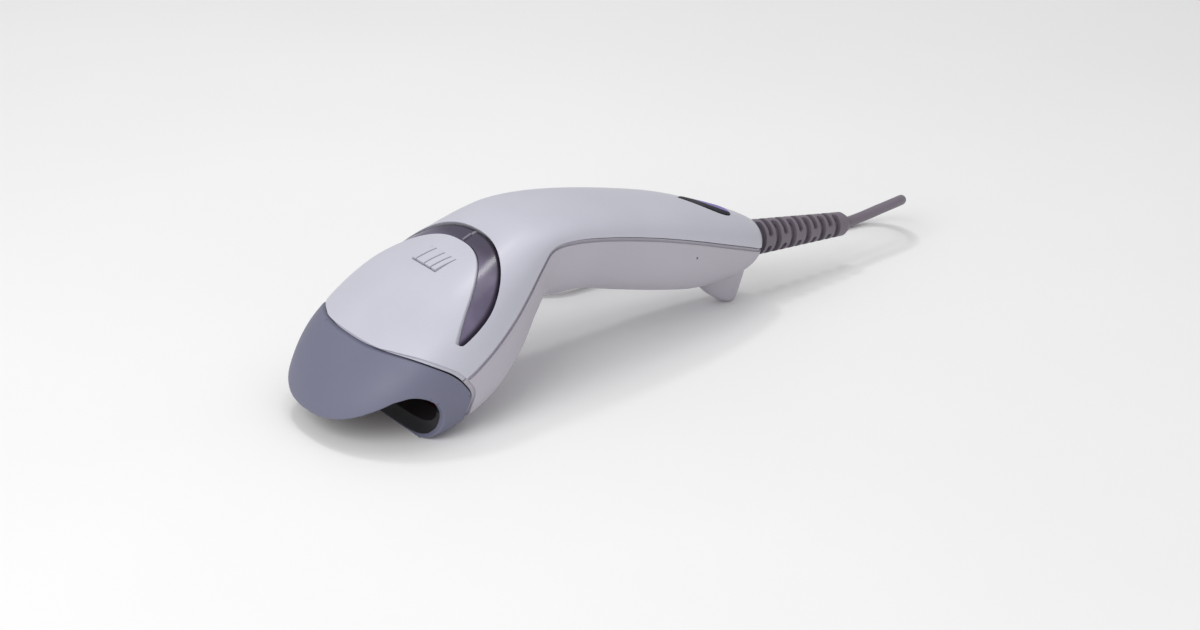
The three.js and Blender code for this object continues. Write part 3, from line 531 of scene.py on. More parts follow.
def finished(name, mesh, material, replaces=(), body=CASE):
    """Puts a finished mesh into the scene in the row frame, riding on its body if one is named."""
    mesh.transform(TO_ROW)
    mesh.name = name
    mesh.materials.clear()
    mesh.materials.append(material)
    piece = bpy.data.objects.new(name, mesh)
    bpy.context.scene.collection.objects.link(piece)
    if body:
        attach(piece, body)
    if replaces:
        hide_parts(*replaces)
    return piece


# ---------- cutting regions ----------
def below(height, floor=-REACH):
    """All the space between two levels."""
    return block((-REACH, REACH), (-REACH, REACH), (floor, height))


def curve2(points, steps):
    return [(p.x, p.y) for p in through([(x, y, 0) for x, y in points], steps)]


def seam_region(offset):
    edge = [(s + offset, n) for s, n in curve2(SEAM, 10)]
    return across([(-REACH, 20), *edge, (-REACH, 62)], HEAD)


def mouth_region(offset=0.0):
    edge = [(s + offset, n) for s, n in curve2(MOUTH_EDGE, 10)]
    return across([(-54.5 + offset, -REACH), *edge, (-REACH, 49), (-REACH, -REACH)], HEAD)


def parting_line(offset):
    line = []
    for t in np.arange(1, LAST + 0.01, 0.125):
        y, z, lean = station_at(t)[:3]
        angle = math.radians(lean)
        line.append((y - math.sin(angle) * offset, z + math.cos(angle) * offset))
    (y0, z0), (y1, z1) = line[0], line[-1]
    return [(y0 - 20, z0 - 12), *line, (y1 + 20, z1 - 4)]


def parting_band(low, high):
    return across([*parting_line(low), *reversed(parting_line(high))])


def seam_band(low, high):
    edge = curve2(SEAM, 10)
    ahead = [(s + low, n) for s, n in edge]
    return across([*ahead, *((s + high, n) for s, n in reversed(edge))], HEAD)


def through_head(outline):
    return prism(outline, 45, 45 + REACH, HEAD)


GUIDE_CENTRE = -31.5  # also the button's bending line
GUIDE_HALF_WIDTH = 29.5
GUIDE_LENGTH = 32.5  # 0.4 less than in the CAD model
GUIDE_POWER = 2.2
PAD_HALF_WIDTH = 28.6
PAD_LENGTH = 26.7
PAD_POWERS = (2.5, 0.98)
GUIDE_SINK = 0.6
GUIDE_DEPTH = 2.2
GUIDE_END_RADIUS = 1.6


def arch(half_width, length, powers):
    """An arch over the guide's front line, in the head's plan."""
    points = []
    for k in range(-64, 65):
        share = math.sin(math.pi * k / 128)
        reach = (1 - abs(share) ** powers[0]) ** powers[1]
        points.append((-share * half_width, GUIDE_CENTRE + length * reach))
    return points


def guide_outline(grow):
    return arch(GUIDE_HALF_WIDTH + grow, GUIDE_LENGTH + grow, (GUIDE_POWER, 1 / GUIDE_POWER))


def pad_outline(grow):
    return arch(PAD_HALF_WIDTH + grow, PAD_LENGTH + grow, PAD_POWERS)


def round_ended(half, front, corner):
    """The head's plan behind a line, with round corners where the guide's two arms end."""
    arc = []
    for k in range(11):
        turn = math.pi / 2 * k / 10
        x = half - corner + corner * math.sin(turn)
        arc.append((x, front + corner - corner * math.cos(turn)))
    return [*arc, (half, REACH), (-half, REACH), *((-x, s) for x, s in reversed(arc))]


def behind(s, floor=45):
    return block((-REACH, REACH), (s, REACH), (floor, REACH), HEAD)


# The badge's outline, seen from above.
BADGE_FRONT = 48.2
BADGE_BACK = 66.2
BADGE_HALF_WIDTH = 8.2


def teardrop(grow):
    points = []
    for k in range(96):
        turn = 2 * math.pi * k / 96
        along = (1 - math.cos(turn)) / 2
        wide = (BADGE_HALF_WIDTH + grow) * math.sin(turn) * math.sqrt(along) * 1.16
        points.append((wide, BADGE_FRONT - grow + (BADGE_BACK - BADGE_FRONT + 2 * grow) * along))
    return points


def above_tail(outline):
    return prism(outline, 18, 18 + REACH, Matrix.Identity(4))


# The foot, level by level: height, front, back, half width.
FOOT_LEVELS = [
    (0, 67.2, 69.8, 1.6), (0.4, 66.2, 70.4, 2.4), (1.2, 64.8, 71.1, 3.0), (2.6, 62.6, 71.9, 3.5),
    (5.6, 59.0, 73.0, 4.2), (9.3, 56.0, 74.0, 5.4), (13, 53.6, 74.2, 6.8), (17, 51.6, 74.0, 8.6),
]


def foot_shape():
    points = []
    levels = through([(z, front, back) for z, front, back, _ in FOOT_LEVELS], 6)
    halves = through([(z, half, 0) for z, _, _, half in FOOT_LEVELS], 6)
    for (z, front, back), (_, half, _) in zip(levels, halves):
        for k in range(48):
            turn = 2 * math.pi * k / 48
            x = half * math.copysign(abs(math.sin(turn)) ** 0.8, math.sin(turn))
            points.append((x, (front + back) / 2 + (back - front) / 2 * math.cos(turn), z))
    return facing_out(mesh_of("foot", points, tube_faces(len(levels), 48)))


# Case screws: a recess for the head, a hole for the shank, a post below and a boss above it.
SCREW_FRAMES = [
    HEAD @ Matrix.Translation((24.5, -31.5, 29.2)),
    HEAD @ Matrix.Translation((-24.5, -31.5, 29.2)),
    HANDLE @ Matrix.Translation((0, 21, -15.6)),
]
SCREW_HEAD_RADIUS = 2.8
SCREW_HEAD_TOP = 2.1
SCREW_HOLE_RADIUS = 1.6
SCREW_HOLE_TOP = 15.6
POST_RADIUS = 3.6
POST_TOP = 7.6
BOSS_RADIUS = 2.9

# ---------- shells ----------
PARTING_GAP = GAP / 2 + 0.03
REVEAL_DEPTH = 0.8  # how deep the grooves along the seams are
BOOT_HOLE_RADIUS = 4.7
PIN_HOLE_RADIUS = 0.4
PIN_HOLE = Matrix.Translation((0, 43, 26.4)) @ SIDEWAYS
outer = loft(0)
skin = Skin(outer)
cover_inside = loft(COVER_WALL, 1.6, LAST - 0.75, 80, 24)
wall_middle = loft(COVER_WALL / 2, 1.3, LAST - 0.4, 80, 24)
not_covers = seam_region(GAP / 2)
reveal_skin = loft(REVEAL_DEPTH)
mouth = mouth_region()
top_region = across([*parting_line(PARTING_GAP), (REACH, REACH), (-REACH, REACH)])
bottom_region = across([*parting_line(-PARTING_GAP), (REACH, -REACH), (-REACH, -REACH)])
boot_hole = rod(BOOT_HOLE_RADIUS, -14, 2, BOOT, 64)
table = below(0)
guide_arms = through_head(round_ended(GUIDE_HALF_WIDTH, GUIDE_CENTRE, GUIDE_END_RADIUS))
seam_reveal = cut(seam_band(-1, 1.4), reveal_skin)
parting_reveal = cut(parting_band(-1, 0), reveal_skin)

top_case = cross(cut(outer, cover_inside), top_region)
top_case = cut(
    top_case,
    not_covers,
    mouth,
    seam_reveal,
    cross(through_head(guide_outline(0)), guide_arms),
    cut(above_tail(teardrop(GAP)), loft(0.9, LAST - 5.2, LAST, 60)),
)
bottom_case = cross(cut(join(outer, foot_shape()), cover_inside), bottom_region)
bottom_case = cut(bottom_case, not_covers, mouth, seam_reveal, parting_reveal, table)
bottom_case = cut(bottom_case, rod(PIN_HOLE_RADIUS, 12, 30, PIN_HOLE, 16))
for place in SCREW_FRAMES:
    recess = rod(SCREW_HEAD_RADIUS, -8, SCREW_HEAD_TOP, place)
    hole = rod(SCREW_HOLE_RADIUS, -1, SCREW_HOLE_TOP, place)
    post = cross(rod(POST_RADIUS, -4, POST_TOP, place), wall_middle, bottom_region)
    bottom_case = cut(join(bottom_case, post), recess, hole)
    boss = cut(cross(rod(BOSS_RADIUS, POST_TOP + GAP, 25, place), wall_middle), behind(-REACH))
    top_case = cut(join(top_case, boss), hole)


def off_bend(place):
    """Not on the button's bending line, where cover and button are one skin."""
    local = HEAD.inverted() @ place
    return abs(local.y - GUIDE_CENTRE) > 0.05 or abs(place.x) > PAD_HALF_WIDTH


top_case = soften(cut(top_case, boot_hole), skin, 0.32, off_bend)
bottom_case = soften(cut(bottom_case, boot_hole), skin, 0.3)

# ---------- nose ----------
LINER_WALL = 1.4
LIP_TOP = 9.0  # up to this level the nose's wall is a thin lip over a thick liner
LIP_DEPTH = 5.0
NOSE_SETBACK = 0.35  # from the seam's line to the nose
LIP_DROP = Matrix.Translation(HEAD.to_3x3() @ Vector((0, 0, -1.4)))


def lowered(mesh):
    mesh.transform(LIP_DROP)
    return mesh


def liner_inside(wall):
    return loft(NOSE_WALL + GAP + wall, 1.6, 10.2, 80, 32)


def head_slab(front, back):
    return block((-REACH, REACH), (front, back), (0, REACH), HEAD)


nose_inside = loft(NOSE_WALL, 1.4, 10, 80, 32)
nose = cut(cross(cut(outer, nose_inside), seam_region(-NOSE_SETBACK)), mouth, table)
# Painted shade: the nose's wall under the mouth is thinned so that a black strip of the liner fills the
# lip's face, which lies in shade.
nose = cut(nose, cross(lowered(nose_inside), mouth_region(LIP_DEPTH), below(LIP_TOP)))


def at_lip(place):
    """On the mouth's rim."""
    return (HEAD.inverted() @ place).y < -47.2 or place.z < 13


def at_low_lip(place):
    """On the thin lip under the mouth."""
    return (HEAD.inverted() @ place).y < -44 and place.z < 6 and abs(place.x) < 17


nose = soften(nose, skin, 0.25, at_low_lip)
nose = soften(nose, skin, 0.8, lambda place: at_lip(place) and not at_low_lip(place))
nose = soften(nose, skin, 0.3, lambda place: not at_lip(place))

liner = cut(loft(NOSE_WALL + GAP, 1.5, 10, 80, 32), liner_inside(LINER_WALL))
liner = cut(cross(liner, head_slab(-66, -44.2)), mouth_region(0.4))
# Painted shade: a black strip laid over the face of the thin lip under the mouth, where that face lies in
# shade.
lip_shade_liner = cut(lowered(loft(NOSE_WALL + 0.1, 1.5, 10, 80, 32)), liner_inside(LINER_WALL - 0.05))
lip_shade_liner = cross(lip_shade_liner, mouth_region(LIP_DEPTH - 0.1), below(LIP_TOP - 0.1, GAP))
liner = join(liner, cut(lip_shade_liner, mouth_region(0.1)))
window = cross(loft(NOSE_WALL + 0.4, 5, 10, 60, 32), head_slab(-43.8, -42.4))


# ---------- light guide and scan button ----------
def on_head(x, s, height):
    """The point of the head's skin at (x, s) in its plan, raised along the smooth normal."""
    down = HEAD.to_3x3() @ Vector((0, 0, -1))
    spot = skin.tree.ray_cast(HEAD @ Vector((x, s, 90)), down)[0]
    return spot + height * skin.at(spot)[1]


def ridge(edges, front, back, height, root=0.6):
    """A raised bar between two lines along the head: edges(s) gives its sides, height(s) its rise."""
    points = []
    for k in range(15):
        s = front + (back - front) * k / 14
        left, right = edges(s)
        rise = height(s)
        bevel = min(0.14, rise * 0.4)
        for x, h in (
            (left, -root), (left, rise - bevel), (left + bevel, rise),
            (right - bevel, rise), (right, rise - bevel), (right, -root),
        ):
            points.append(on_head(x, s, h))
    return facing_out(mesh_of("ridge", points, tube_faces(15, 6)))


guide_mesh = loft(GUIDE_SINK, 6, 15, 120)
guide_skin = Skin(guide_mesh)
guide = cut(guide_mesh, loft(GUIDE_SINK + GUIDE_DEPTH, 5.8, 15.2, 120))
guide = cross(guide, through_head(guide_outline(-GAP)), behind(GUIDE_CENTRE + GAP, 45.8))
guide_ends = round_ended(GUIDE_HALF_WIDTH - GAP, GUIDE_CENTRE + GAP, GUIDE_END_RADIUS - 0.2)
guide = cross(guide, through_head(guide_ends))
guide = soften(guide, guide_skin, 1.1, off_bend, 0.5)
guide = cut(guide, through_head(pad_outline(GAP / 2)))
guide = join(guide, ridge(lambda s: (-0.4, 0.4), -4.4, -1.3, lambda s: -0.25, 1.0))

# Four bars across the thumb's place, highest at the front and running out towards the back.
BAR_FRONT, BAR_BACK = -18.2, -11.4
BARS = [(-6.2, -4.5), (-3.9, -0.2), (0.4, 3.2), (3.8, 5.8)]
BAR_LEAN = 0.9
MOAT_WIDTH, MOAT_DEPTH = 0.3, 0.65  # a groove runs round each bar


def leaning(left, right):
    """A bar's two sides, which lean over towards +X at the back."""

    def sides(s):
        lean = BAR_LEAN * ((s - BAR_FRONT) / (BAR_BACK - BAR_FRONT)) ** 2
        return left + lean, right + lean

    return sides


def bar_height(s):
    return 0.05 + 0.7 * (1 - (s - BAR_FRONT) / (BAR_BACK - BAR_FRONT)) ** 0.8


button = cut(loft(0, 6, 15, 120), loft(2.0, 5.8, 15.2, 120))
button = cross(button, through_head(pad_outline(-GAP / 2)), behind(GUIDE_CENTRE))
press_post = rod(1.6, 54.5, 56.5, HEAD @ Matrix.Translation((0, -14, 0)))
button = soften(join(button, press_post), skin, 0.35, off_bend)
for left, right in BARS:
    moat_sides = leaning(left - MOAT_WIDTH, right + MOAT_WIDTH)
    moat = ridge(moat_sides, BAR_FRONT - 0.35, BAR_BACK, lambda s: 1, MOAT_DEPTH)
    button = join(cut(button, moat), ridge(leaning(left, right), BAR_FRONT, BAR_BACK, bar_height))

badge = cross(above_tail(teardrop(0)), loft(-0.1, LAST - 5.2, LAST, 80))
badge = cut(badge, loft(0.6, LAST - 5.2, LAST, 80))

# ---------- boot: H-shaped slots, in its own frame with Z running out along it ----------
BOOT_START, BOOT_END = -6.4, 35.4
ROOT_RADIUS, TIP_RADIUS = 5.9, 3.9
NECK_RADIUS = 4.4
CONE_RADIUS, CONE_LENGTH = 2.7, 1.8
SLOT_COUNT, SLOT_FIRST, SLOT_PITCH = 6, -4.75, 6.7


def boot_radius(z):
    share = (z - BOOT_START) / (BOOT_END - BOOT_START)
    return ROOT_RADIUS + (TIP_RADIUS - ROOT_RADIUS) * share


def turned(profile, place, sides=96):
    """A solid of revolution from (radius, height) pairs that start and end near the axis."""
    points = []
    for k in range(sides):
        turn = 2 * math.pi * k / sides
        points += [place @ Vector((r * math.cos(turn), r * math.sin(turn), z)) for r, z in profile]
    faces = []
    count = len(profile)
    for k in range(sides):
        n = (k + 1) % sides
        for i in range(count):
            j = (i + 1) % count
            faces.append((k * count + i, n * count + i, n * count + j, k * count + j))
    return facing_out(mesh_of("turned", points, faces))


def slot_tool(z, centre, half_span, width, depth):
    """One slot with round ends, cut into the boot round part of its girth."""
    radius = boot_radius(z)
    points = []
    for k in range(25):
        share = math.cos(math.pi * k / 24)
        turn = centre + half_span * share
        to_end = (1 - abs(share)) * half_span * radius
        round_end = min(to_end / (width / 2), 1)
        half = max(width / 2 * math.sqrt(1 - (1 - round_end) ** 2), 0.02)
        low, high = radius - depth, radius + 1
        for r, side in ((low, -half), (high, -half), (high, half), (low, half)):
            points.append(BOOT @ Vector((r * math.cos(turn), r * math.sin(turn), z + side)))
    return facing_out(mesh_of("slot", points, tube_faces(25, 4)))


boot_profile = [
    (0.01, -14.4), (4.7, -14.4), (5.0, -14.1), (5.0, -12.4), (4.8, -12.2), (NECK_RADIUS, -12.2),
    (NECK_RADIUS, BOOT_START), (5.6, BOOT_START), (ROOT_RADIUS, BOOT_START + 0.3),
    (boot_radius(BOOT_END - CONE_LENGTH) - 0.02, BOOT_END - CONE_LENGTH - 0.35),
    (boot_radius(BOOT_END - CONE_LENGTH) - 0.2, BOOT_END - CONE_LENGTH),
    (CONE_RADIUS + 0.15, BOOT_END - 0.2), (CONE_RADIUS - 0.15, BOOT_END), (0.01, BOOT_END),
]
boot = turned(boot_profile, BOOT)
for k in range(SLOT_COUNT):
    z = SLOT_FIRST + k * SLOT_PITCH
    for side in (0, math.pi):
        boot = cut(boot, slot_tool(z, side, math.radians(79), 2.4, 1.9))
    if k < SLOT_COUNT - 1:
        for side in (math.pi / 2, -math.pi / 2):
            boot = cut(boot, slot_tool(z + SLOT_PITCH / 2, side, math.radians(75), 1.9, 1.8))

# ---------- USB plug, lying with its contacts towards -Y ----------
USB = Matrix.Translation((-44, 0, 3.9))
USB_TIP = -37.0


def rounded(half_x, half_y, radius, steps=5):
    """A rectangle with round corners, as (x, y) points."""
    points = []
    for cx, cy, start in ((1, 1, 0), (-1, 1, 90), (-1, -1, 180), (1, -1, 270)):
        for k in range(steps + 1):
            turn = math.radians(start + 90 * k / steps)
            points.append((
                cx * (half_x - radius) + radius * math.cos(turn),
                cy * (half_y - radius) + radius * math.sin(turn),
            ))
    return points


def along_y(rows, place):
    """A solid of rounded rectangles, one to each (y, half width, half height, radius) row."""
    points = []
    for y, half_x, half_z, radius in rows:
        points += [place @ Vector((x, y, z)) for x, z in rounded(half_x, half_z, radius)]
    return facing_out(mesh_of("run", points, tube_faces(len(rows), 24)))


GRIP_ROWS = [
    (-18, 7.3, 3.2, 1.4), (-17.7, 7.8, 3.7, 1.9), (-17, 8, 3.9, 2.1), (-10, 8, 3.9, 2.1),
    (0, 8, 3.9, 2.1), (3.5, 7.95, 3.9, 2.2), (5.5, 7.5, 3.85, 2.4), (8, 6.3, 3.6, 2.5),
    (10.5, 5.2, 3.3, 2.4), (11.6, 4.8, 3.0, 2.2), (12, 4.3, 2.6, 2.0),
]
usb_grip = along_y(GRIP_ROWS, USB)
for k in range(5):
    for side in (1, -1):
        place = USB @ Matrix.Translation((0, -9 + 2.6 * k, side * 4.15)) @ SIDEWAYS
        usb_grip = cut(usb_grip, rod(0.55, -5.2, 5.2, place))
usb_grip = cut(usb_grip, along_y([(-19, 6.3, 2.55, 0.9), (-15, 6.3, 2.55, 0.9)], USB))
usb_shell = along_y([(USB_TIP, 5.9, 2.15, 0.5), (USB_TIP + 0.4, 6, 2.25, 0.6), (-15.3, 6, 2.25, 0.6)], USB)
usb_shell = cut(usb_shell, along_y([(USB_TIP - 1, 5.55, 1.8, 0.3), (-16.5, 5.55, 1.8, 0.3)], USB))
for x in (-3.1, 3.1):
    for low, high in ((1, 3), (-3, -1)):
        usb_shell = cut(usb_shell, block((x - 1.25, x + 1.25), (-31.5, -29), (low, high), USB))
tongue_place = USB @ Matrix.Translation((0, 0, 0.76))
usb_tongue = along_y([(USB_TIP + 0.6, 5.2, 0.68, 0.15), (-16.8, 5.2, 0.68, 0.15)], tongue_place)

# ---------- coil tie: a strap round one side of the coil ----------
TIE_HALF = 4.5
TIE_THICKNESS = 0.7
TIE = Matrix.Translation((COIL_CENTRE[0], COIL_CENTRE[1] - 21.0, 0))


def strap_loop(grow):
    """The strap's outline round the turns, in (radial, height), from the coil's middle line."""
    return [(x, z + 4.45) for x, z in rounded(12.75 + grow, 3.7 + grow, 2.2 + grow, 10)]


tie_place = TIE @ Matrix(((0, 0, 1, 0), (-1, 0, 0, 0), (0, 1, 0, 0), (0, 0, 0, 1)))
tie = prism(strap_loop(TIE_THICKNESS + 0.02), -TIE_HALF, TIE_HALF, tie_place)
tie = cut(tie, prism(strap_loop(0.02), -6, 6, tie_place))


# ---------- materials ----------
class Finish:
    """A Principled material built up from noise layers in the object's own space, in metres."""

    def __init__(self, name, **fixed):
        self.material = bpy.data.materials.new(name)
        self.material.use_nodes = True
        self.tree = self.material.node_tree
        self.shader = self.tree.nodes["Principled BSDF"]
        self.place = self.node("TexCoord").outputs["Object"]
        for socket, value in fixed.items():
            self.shader.inputs[socket.replace("_", " ")].default_value = value

    def node(self, kind, **inputs):
        made = self.tree.nodes.new("ShaderNode" + kind)
        for socket, value in inputs.items():
            self.feed(made.inputs[socket.replace("_", " ")], value)
        return made

    def feed(self, socket, value):
        if isinstance(value, bpy.types.NodeSocket):
            self.tree.links.new(value, socket)
        else:
            socket.default_value = value

    def noise(self, scale, detail=2.0, stretch=(1, 1, 1)):
        place = self.node("Mapping", Vector=self.place, Scale=stretch).outputs["Vector"]
        return self.node("TexNoise", Vector=place, Scale=scale, Detail=detail).outputs["Fac"]

    def spread(self, value, low, high, start=0.3, end=0.7):
        made = self.node("MapRange", Value=value, From_Min=start, From_Max=end, To_Min=low, To_Max=high)
        made.interpolation_type = "SMOOTHSTEP"
        return made.outputs["Result"]

    def math(self, operation, first, second=0.0):
        made = self.node("Math")
        made.operation = operation
        self.feed(made.inputs[0], first)
        self.feed(made.inputs[1], second)
        return made.outputs["Value"]

    def blend(self, share, first, second):
        made = self.node("Mix")
        made.data_type = "RGBA"
        for socket, value in ((0, share), (6, first), (7, second)):
            self.feed(made.inputs[socket], value)
        return made.outputs[2]

    def color(self, value):
        self.feed(self.shader.inputs["Base Color"], value)

    def rough(self, value):
        self.feed(self.shader.inputs["Roughness"], value)

    def bump(self, height, depth):
        """Adds relief of the given depth in millimetres."""
        made = self.node("Bump", Height=height, Distance=depth * 0.001, Strength=1.0)
        under = self.shader.inputs["Normal"]
        if under.links:
            self.feed(made.inputs["Normal"], under.links[0].from_socket)
        self.feed(under, made.outputs["Normal"])

    def axis(self, name):
        return self.node("SeparateXYZ", Vector=self.place).outputs[name]


def shade(color, share):
    return (*(min(c * share, 1.0) for c in color), 1.0)


def moulded(name, color, roughness, grain=2400, relief=0.006, mottle=0.025, **fixed):
    """Moulded plastic: faint cloudiness, fine spark-eroded grain and handling marks in the gloss."""
    made = Finish(name, **fixed)
    cloud = made.spread(made.noise(34, 4), 0, 1)
    base = made.blend(cloud, shade(color, 1 - mottle), shade(color, 1 + mottle))
    speck = made.spread(made.noise(1500, 1), 0, 0.35, 0.62, 0.75)
    base = made.blend(speck, base, shade(color, 0.9))
    low = made.spread(made.axis("Z"), 1, 0, 0.0003, 0.0035)
    rub = made.math("MULTIPLY", low, made.spread(made.noise(700, 3), 0, 0.6, 0.45, 0.65))
    made.color(made.blend(rub, base, shade(color, 0.8)))
    smudge = made.noise(70, 5)
    made.rough(made.spread(smudge, roughness - 0.05, roughness + 0.06))
    made.bump(made.noise(grain, 2), relief)
    return made.material


def metal(name, color, roughness, stretch=(1, 1, 1), relief=0.004, scale=900):
    """Metal with a drawn or cast grain."""
    made = Finish(name, Metallic=1.0)
    grain = made.noise(scale, 3, stretch)
    made.color(made.blend(made.spread(made.noise(120, 3), 0, 1), shade(color, 0.93), shade(color, 1.03)))
    made.rough(made.spread(grain, roughness * 0.75, roughness * 1.3))
    made.bump(grain, relief)
    return made.material


def clear(name, color, roughness, amount, depth=0.001):
    """Clear or smoked plastic and glass, with faint flow lines."""
    made = Finish(name, Transmission_Weight=amount, IOR=1.5)
    flow = made.noise(60, 3, (1, 0.4, 1))
    made.color(made.blend(made.spread(flow, 0, 1), shade(color, 0.95), shade(color, 1.05)))
    made.rough(made.spread(made.noise(200, 4), roughness, roughness + 0.05))
    made.bump(flow, depth)
    return made.material


def wound(name, color):
    """Enamelled wire, wound in fine turns."""
    made = Finish(name, Metallic=1.0)
    turns = made.node("TexWave", Vector=made.place, Scale=1400.0, Distortion=0.4)
    turns.bands_direction = "Z"
    made.color(made.blend(turns.outputs["Fac"], shade(color, 0.55), shade(color, 1.0)))
    made.rough(made.spread(made.noise(500), 0.25, 0.4))
    made.bump(turns.outputs["Fac"], 0.04)
    return made.material


def circuit(name, color):
    """Solder mask over copper tracks."""
    made = Finish(name, Coat_Weight=0.4, Coat_Roughness=0.2)
    cells = made.node("TexVoronoi", Vector=made.place, Scale=420.0)
    cells.distance = "MANHATTAN"
    tracks = made.spread(cells.outputs["Distance"], 0, 1, 0.42, 0.48)
    made.color(made.blend(tracks, shade(color, 1.0), shade(color, 1.9)))
    made.rough(made.spread(made.noise(300), 0.35, 0.5))
    made.bump(tracks, 0.02)
    return made.material


def foil(name):
    """Badge foil: near black, with a plain violet field at its left rear."""
    made = Finish(name, Specular_IOR_Level=0.04)
    brushed = made.noise(900, 3, (1, 0.1, 1))
    dark = made.blend(made.spread(brushed, 0, 1), (0.006, 0.006, 0.011, 1), (0.012, 0.012, 0.02, 1))
    flat = made.node("Mapping", Vector=made.place, Scale=(1, 1, 0)).outputs["Vector"]
    reach = made.node("VectorMath")
    reach.operation = "DISTANCE"
    made.feed(reach.inputs[0], flat)
    made.feed(reach.inputs[1], TO_ROW @ Vector((-8.5, 68, 0)))
    corner = made.spread(reach.outputs["Value"], 1, 0, 0.0131, 0.0135)
    violet = made.blend(made.spread(brushed, 0, 1), (0.20, 0.16, 0.44, 1), (0.27, 0.22, 0.54, 1))
    made.color(made.blend(corner, dark, violet))
    made.rough(made.spread(made.noise(250, 3), 0.4, 0.5))
    made.bump(brushed, 0.0015)
    return made.material


def smoked_guide():
    """Smoked light guide: glossy, with painted shade at its rear towards the arch and along its outer rim,
    and a pale rib in the middle.
    """
    made = Finish("smoked_guide", Coat_Weight=0.32, Coat_Roughness=0.2, Specular_IOR_Level=0.08)
    cloud = made.spread(made.noise(90, 3), 0, 1)
    base = made.blend(cloud, (0.115, 0.098, 0.152, 1), (0.16, 0.138, 0.212, 1))
    to_head = (TO_ROW @ HEAD).inverted()
    turned_back = made.node(
        "Mapping", Vector=made.place, Location=to_head.translation,
        Rotation=to_head.to_euler(), Scale=to_head.to_scale(),
    )
    x, s = made.node("SeparateXYZ", Vector=turned_back.outputs["Vector"]).outputs[:2]
    beside = made.math("ABSOLUTE", x)
    shares = (
        made.math("DIVIDE", beside, GUIDE_HALF_WIDTH - GAP),
        made.math("DIVIDE", made.math("SUBTRACT", s, GUIDE_CENTRE), GUIDE_LENGTH - GAP),
    )
    reach = made.math("ADD", *(made.math("POWER", share, GUIDE_POWER) for share in shares))
    # Painted shade: the guide's colour darkens towards the arch at its rear.
    base = made.blend(made.spread(s, 0, 0.7, -10, -3), base, (0.03, 0.024, 0.04, 1))
    # Painted shade: a dark band along the guide's outer rim, where the opening's edge lies in shadow.
    base = made.blend(made.spread(reach, 0, 1, 0.91, 0.97), base, (0.02, 0.014, 0.028, 1))
    rib = made.spread(beside, 1, 0, 0.4, 0.6)
    made.color(made.blend(rib, base, (0.22, 0.21, 0.25, 1)))
    made.rough(made.spread(made.noise(160, 3), 0.18, 0.24))
    made.bump(made.noise(45, 1), 0.01)
    return made.material


LIGHT_GREY = (0.53, 0.53, 0.61)
# The bottom cover is the same grey plastic as the top; this darker, warmer grey is painted shade with a
# warm tint of bounced light.
PAINTED_SHADE_GREY = (0.46, 0.435, 0.495)
VINYL_GREY = (0.175, 0.148, 0.185)

case_light = moulded("case_light", LIGHT_GREY, 0.42, Coat_Weight=0.12, Coat_Roughness=0.25)
# Painted shade: the bottom cover's darker, warmer copy of the case plastic.
case_dark = moulded("case_dark", PAINTED_SHADE_GREY, 0.46, Coat_Weight=0.08, Coat_Roughness=0.3)
nose_rubber = moulded("nose_rubber", (0.15, 0.153, 0.222), 0.5, 1900, 0.008, 0.04)
black_plastic = moulded("black_plastic", (0.012, 0.012, 0.016), 0.5, 1500, 0.012, 0.1)
vinyl = moulded("vinyl", VINYL_GREY, 0.52, 1700, 0.01, 0.06)
red_window = clear("red_window", (0.12, 0.012, 0.02), 0.04, 0.35)
smoke = smoked_guide()
badge_foil = foil("badge_foil")
steel = metal("steel", (0.62, 0.62, 0.64), 0.28, (1, 0.06, 1))
gold = metal("gold", (0.86, 0.63, 0.27), 0.25, (1, 0.2, 1), 0.002)
die_cast = metal("die_cast", (0.50, 0.50, 0.52), 0.45, (1, 1, 1), 0.03, 700)
brass = metal("brass", (0.78, 0.60, 0.28), 0.25, (1, 1, 0.05))
silvered = metal("mirror", (0.93, 0.94, 0.95), 0.04, (1, 1, 1), 0.0002)
copper = wound("copper", (0.60, 0.24, 0.10))
board = circuit("board", (0.012, 0.10, 0.035))
chip = moulded("chip", (0.016, 0.016, 0.018), 0.4, 1800, 0.01, 0.08)
nylon = moulded("nylon", (0.72, 0.70, 0.63), 0.4, 1500, 0.005, 0.03)
lens = clear("lens", (0.93, 0.96, 0.97), 0.02, 0.95, 0.0003)
lamp = clear("lamp", (0.80, 0.86, 0.80), 0.08, 0.7)

CAD_LOOKS = {
    die_cast: ["engine_chassis"],
    steel: [
        "mirror_pin", "mirror_magnet", "laser_diode", "engine_screw_left", "engine_screw_right",
        "case_screw_left", "case_screw_right", "case_screw_tail",
    ],
    black_plastic: ["mirror_carrier"],
    silvered: ["scan_mirror", "collecting_mirror"],
    brass: ["laser_barrel"],
    lens: ["collimator_lens"],
    copper: ["drive_coil"],
    chip: ["photodiode", "button_switch", "decoder_chip", "beeper", "cable_jack"],
    board: ["engine_board", "decode_board"],
    nylon: ["switch_plunger", "cable_plug", "ribbon_cable"],
    lamp: ["status_led_left", "status_led_right"],
    vinyl: ["cord_stub"],
}
for look, names in CAD_LOOKS.items():
    for name in names:
        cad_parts[name].material_slots[0].material = look

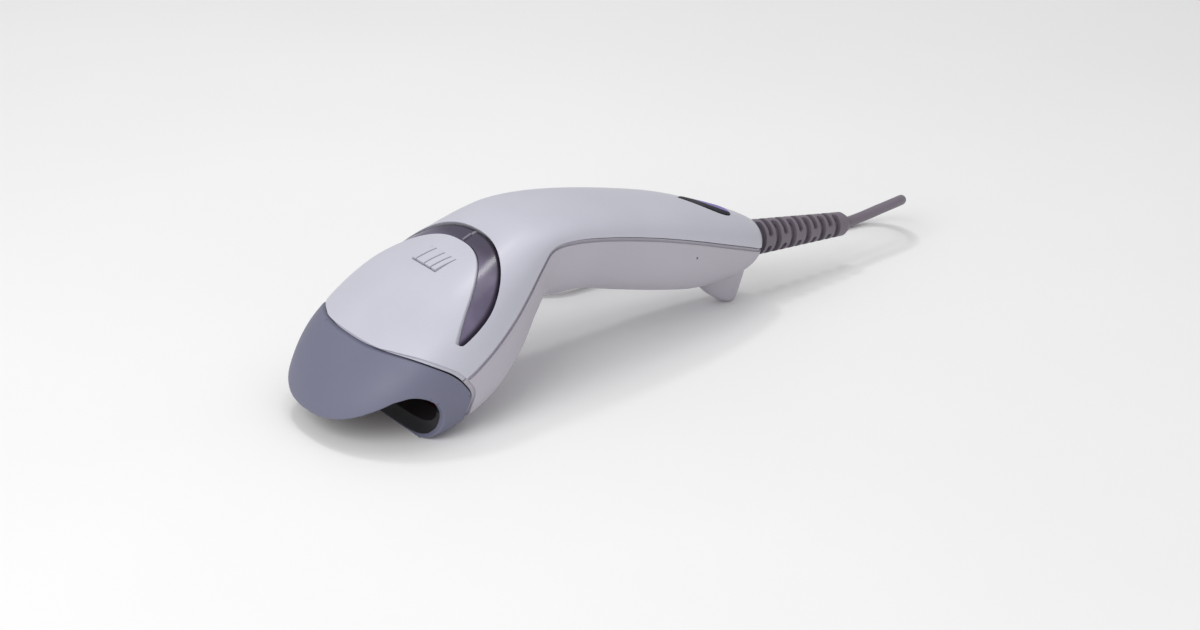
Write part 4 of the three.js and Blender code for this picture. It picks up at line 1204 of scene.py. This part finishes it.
# ---------- finished pieces ----------
finished("top_shell", smooth_normals(top_case, skin), case_light, ["top_cover"])
# The bottom shell wears the painted-shade copy of the case grey.
finished("bottom_shell", smooth_normals(bottom_case, skin), case_dark, ["bottom_cover"])
finished("nose_shell", smooth_normals(nose, skin), nose_rubber, ["nose_bumper"])
# The mouth liner also carries the painted-shade strip on the lower lip.
finished("mouth_liner_with_lip_shade", smooth_normals(liner), black_plastic, ["nose_liner"])
finished("scan_window", smooth_normals(window), red_window, ["exit_window"])
finished("horseshoe_guide", smooth_normals(guide, guide_skin), smoke, ["light_guide"])
finished("badge", smooth_normals(badge), badge_foil, ["name_badge"])
button = smooth_normals(button, skin)
key = finished("button_tongue", button, case_light, ["scan_button"], body=None)
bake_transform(key)
on_cord = [
    finished("cord_boot", smooth_normals(boot), vinyl, ["strain_relief"]),
    finished("coil_strap", smooth_normals(tie), black_plastic, ["cord_tie"]),
    finished("plug_grip", smooth_normals(usb_grip), vinyl, ["usb_overmould"]),
    finished("plug_shell", smooth_normals(usb_shell), steel, ["usb_shell"]),
    finished("plug_tongue", smooth_normals(usb_tongue), nylon, ["usb_contact_block"]),
]
for k in range(4):
    x = (k - 1.5) * 2.35
    strip = block((x - 0.5, x + 0.5), (USB_TIP + 1.6, -26), (-0.02, 0.05), USB)
    on_cord.append(finished(f"plug_contact_{k + 1}", strip, gold))

cord.data.materials.append(vinyl)
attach(cord, CASE)
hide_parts("cord_run", "cord_coil", "cord_end")

# ---------- light and stage ----------
PAPER_WHITE = (0.9, 0.9, 0.9)
floor_mesh = bpy.data.meshes.new("floor")
floor_mesh.from_pydata([(-3, -3, 0), (3, -3, 0), (3, 3, 0), (-3, 3, 0)], [], [(0, 1, 2, 3)])
floor = bpy.data.objects.new("floor", floor_mesh)
bpy.context.scene.collection.objects.link(floor)

floor_look = Finish("floor")
paper = floor_look.spread(floor_look.noise(6, 3), 0, 1)
floor_look.color(floor_look.blend(paper, shade(PAPER_WHITE, 0.99), shade(PAPER_WHITE, 1.01)))
floor_look.rough(floor_look.spread(floor_look.noise(300, 3), 0.75, 0.9))
floor_mesh.materials.append(floor_look.material)


def softbox(name, at, size, power):
    """A square area light that faces the middle of the scanner."""
    lamp_data = bpy.data.lights.new(name, "AREA")
    lamp_data.size = size
    lamp_data.energy = power
    made = bpy.data.objects.new(name, lamp_data)
    made.location = at
    made.rotation_euler = (Vector((0, 0, 0.03)) - Vector(at)).to_track_quat("-Z", "Y").to_euler()
    bpy.context.scene.collection.objects.link(made)


softbox("key", (0.25, -0.7, 0.6), 0.7, 4.0)
softbox("overhead", (-0.08, 0.1, 0.8), 0.34, 0.7)
softbox("glint", (-0.3, 0.05, 0.77), 0.1, 0.8)

world = bpy.data.worlds.new("studio")
bpy.context.scene.world = world
world.use_nodes = True
world.node_tree.nodes["Background"].inputs["Color"].default_value = (1, 1, 1, 1)
world.node_tree.nodes["Background"].inputs["Strength"].default_value = 0.58
bpy.context.scene.view_settings.view_transform = "Standard"
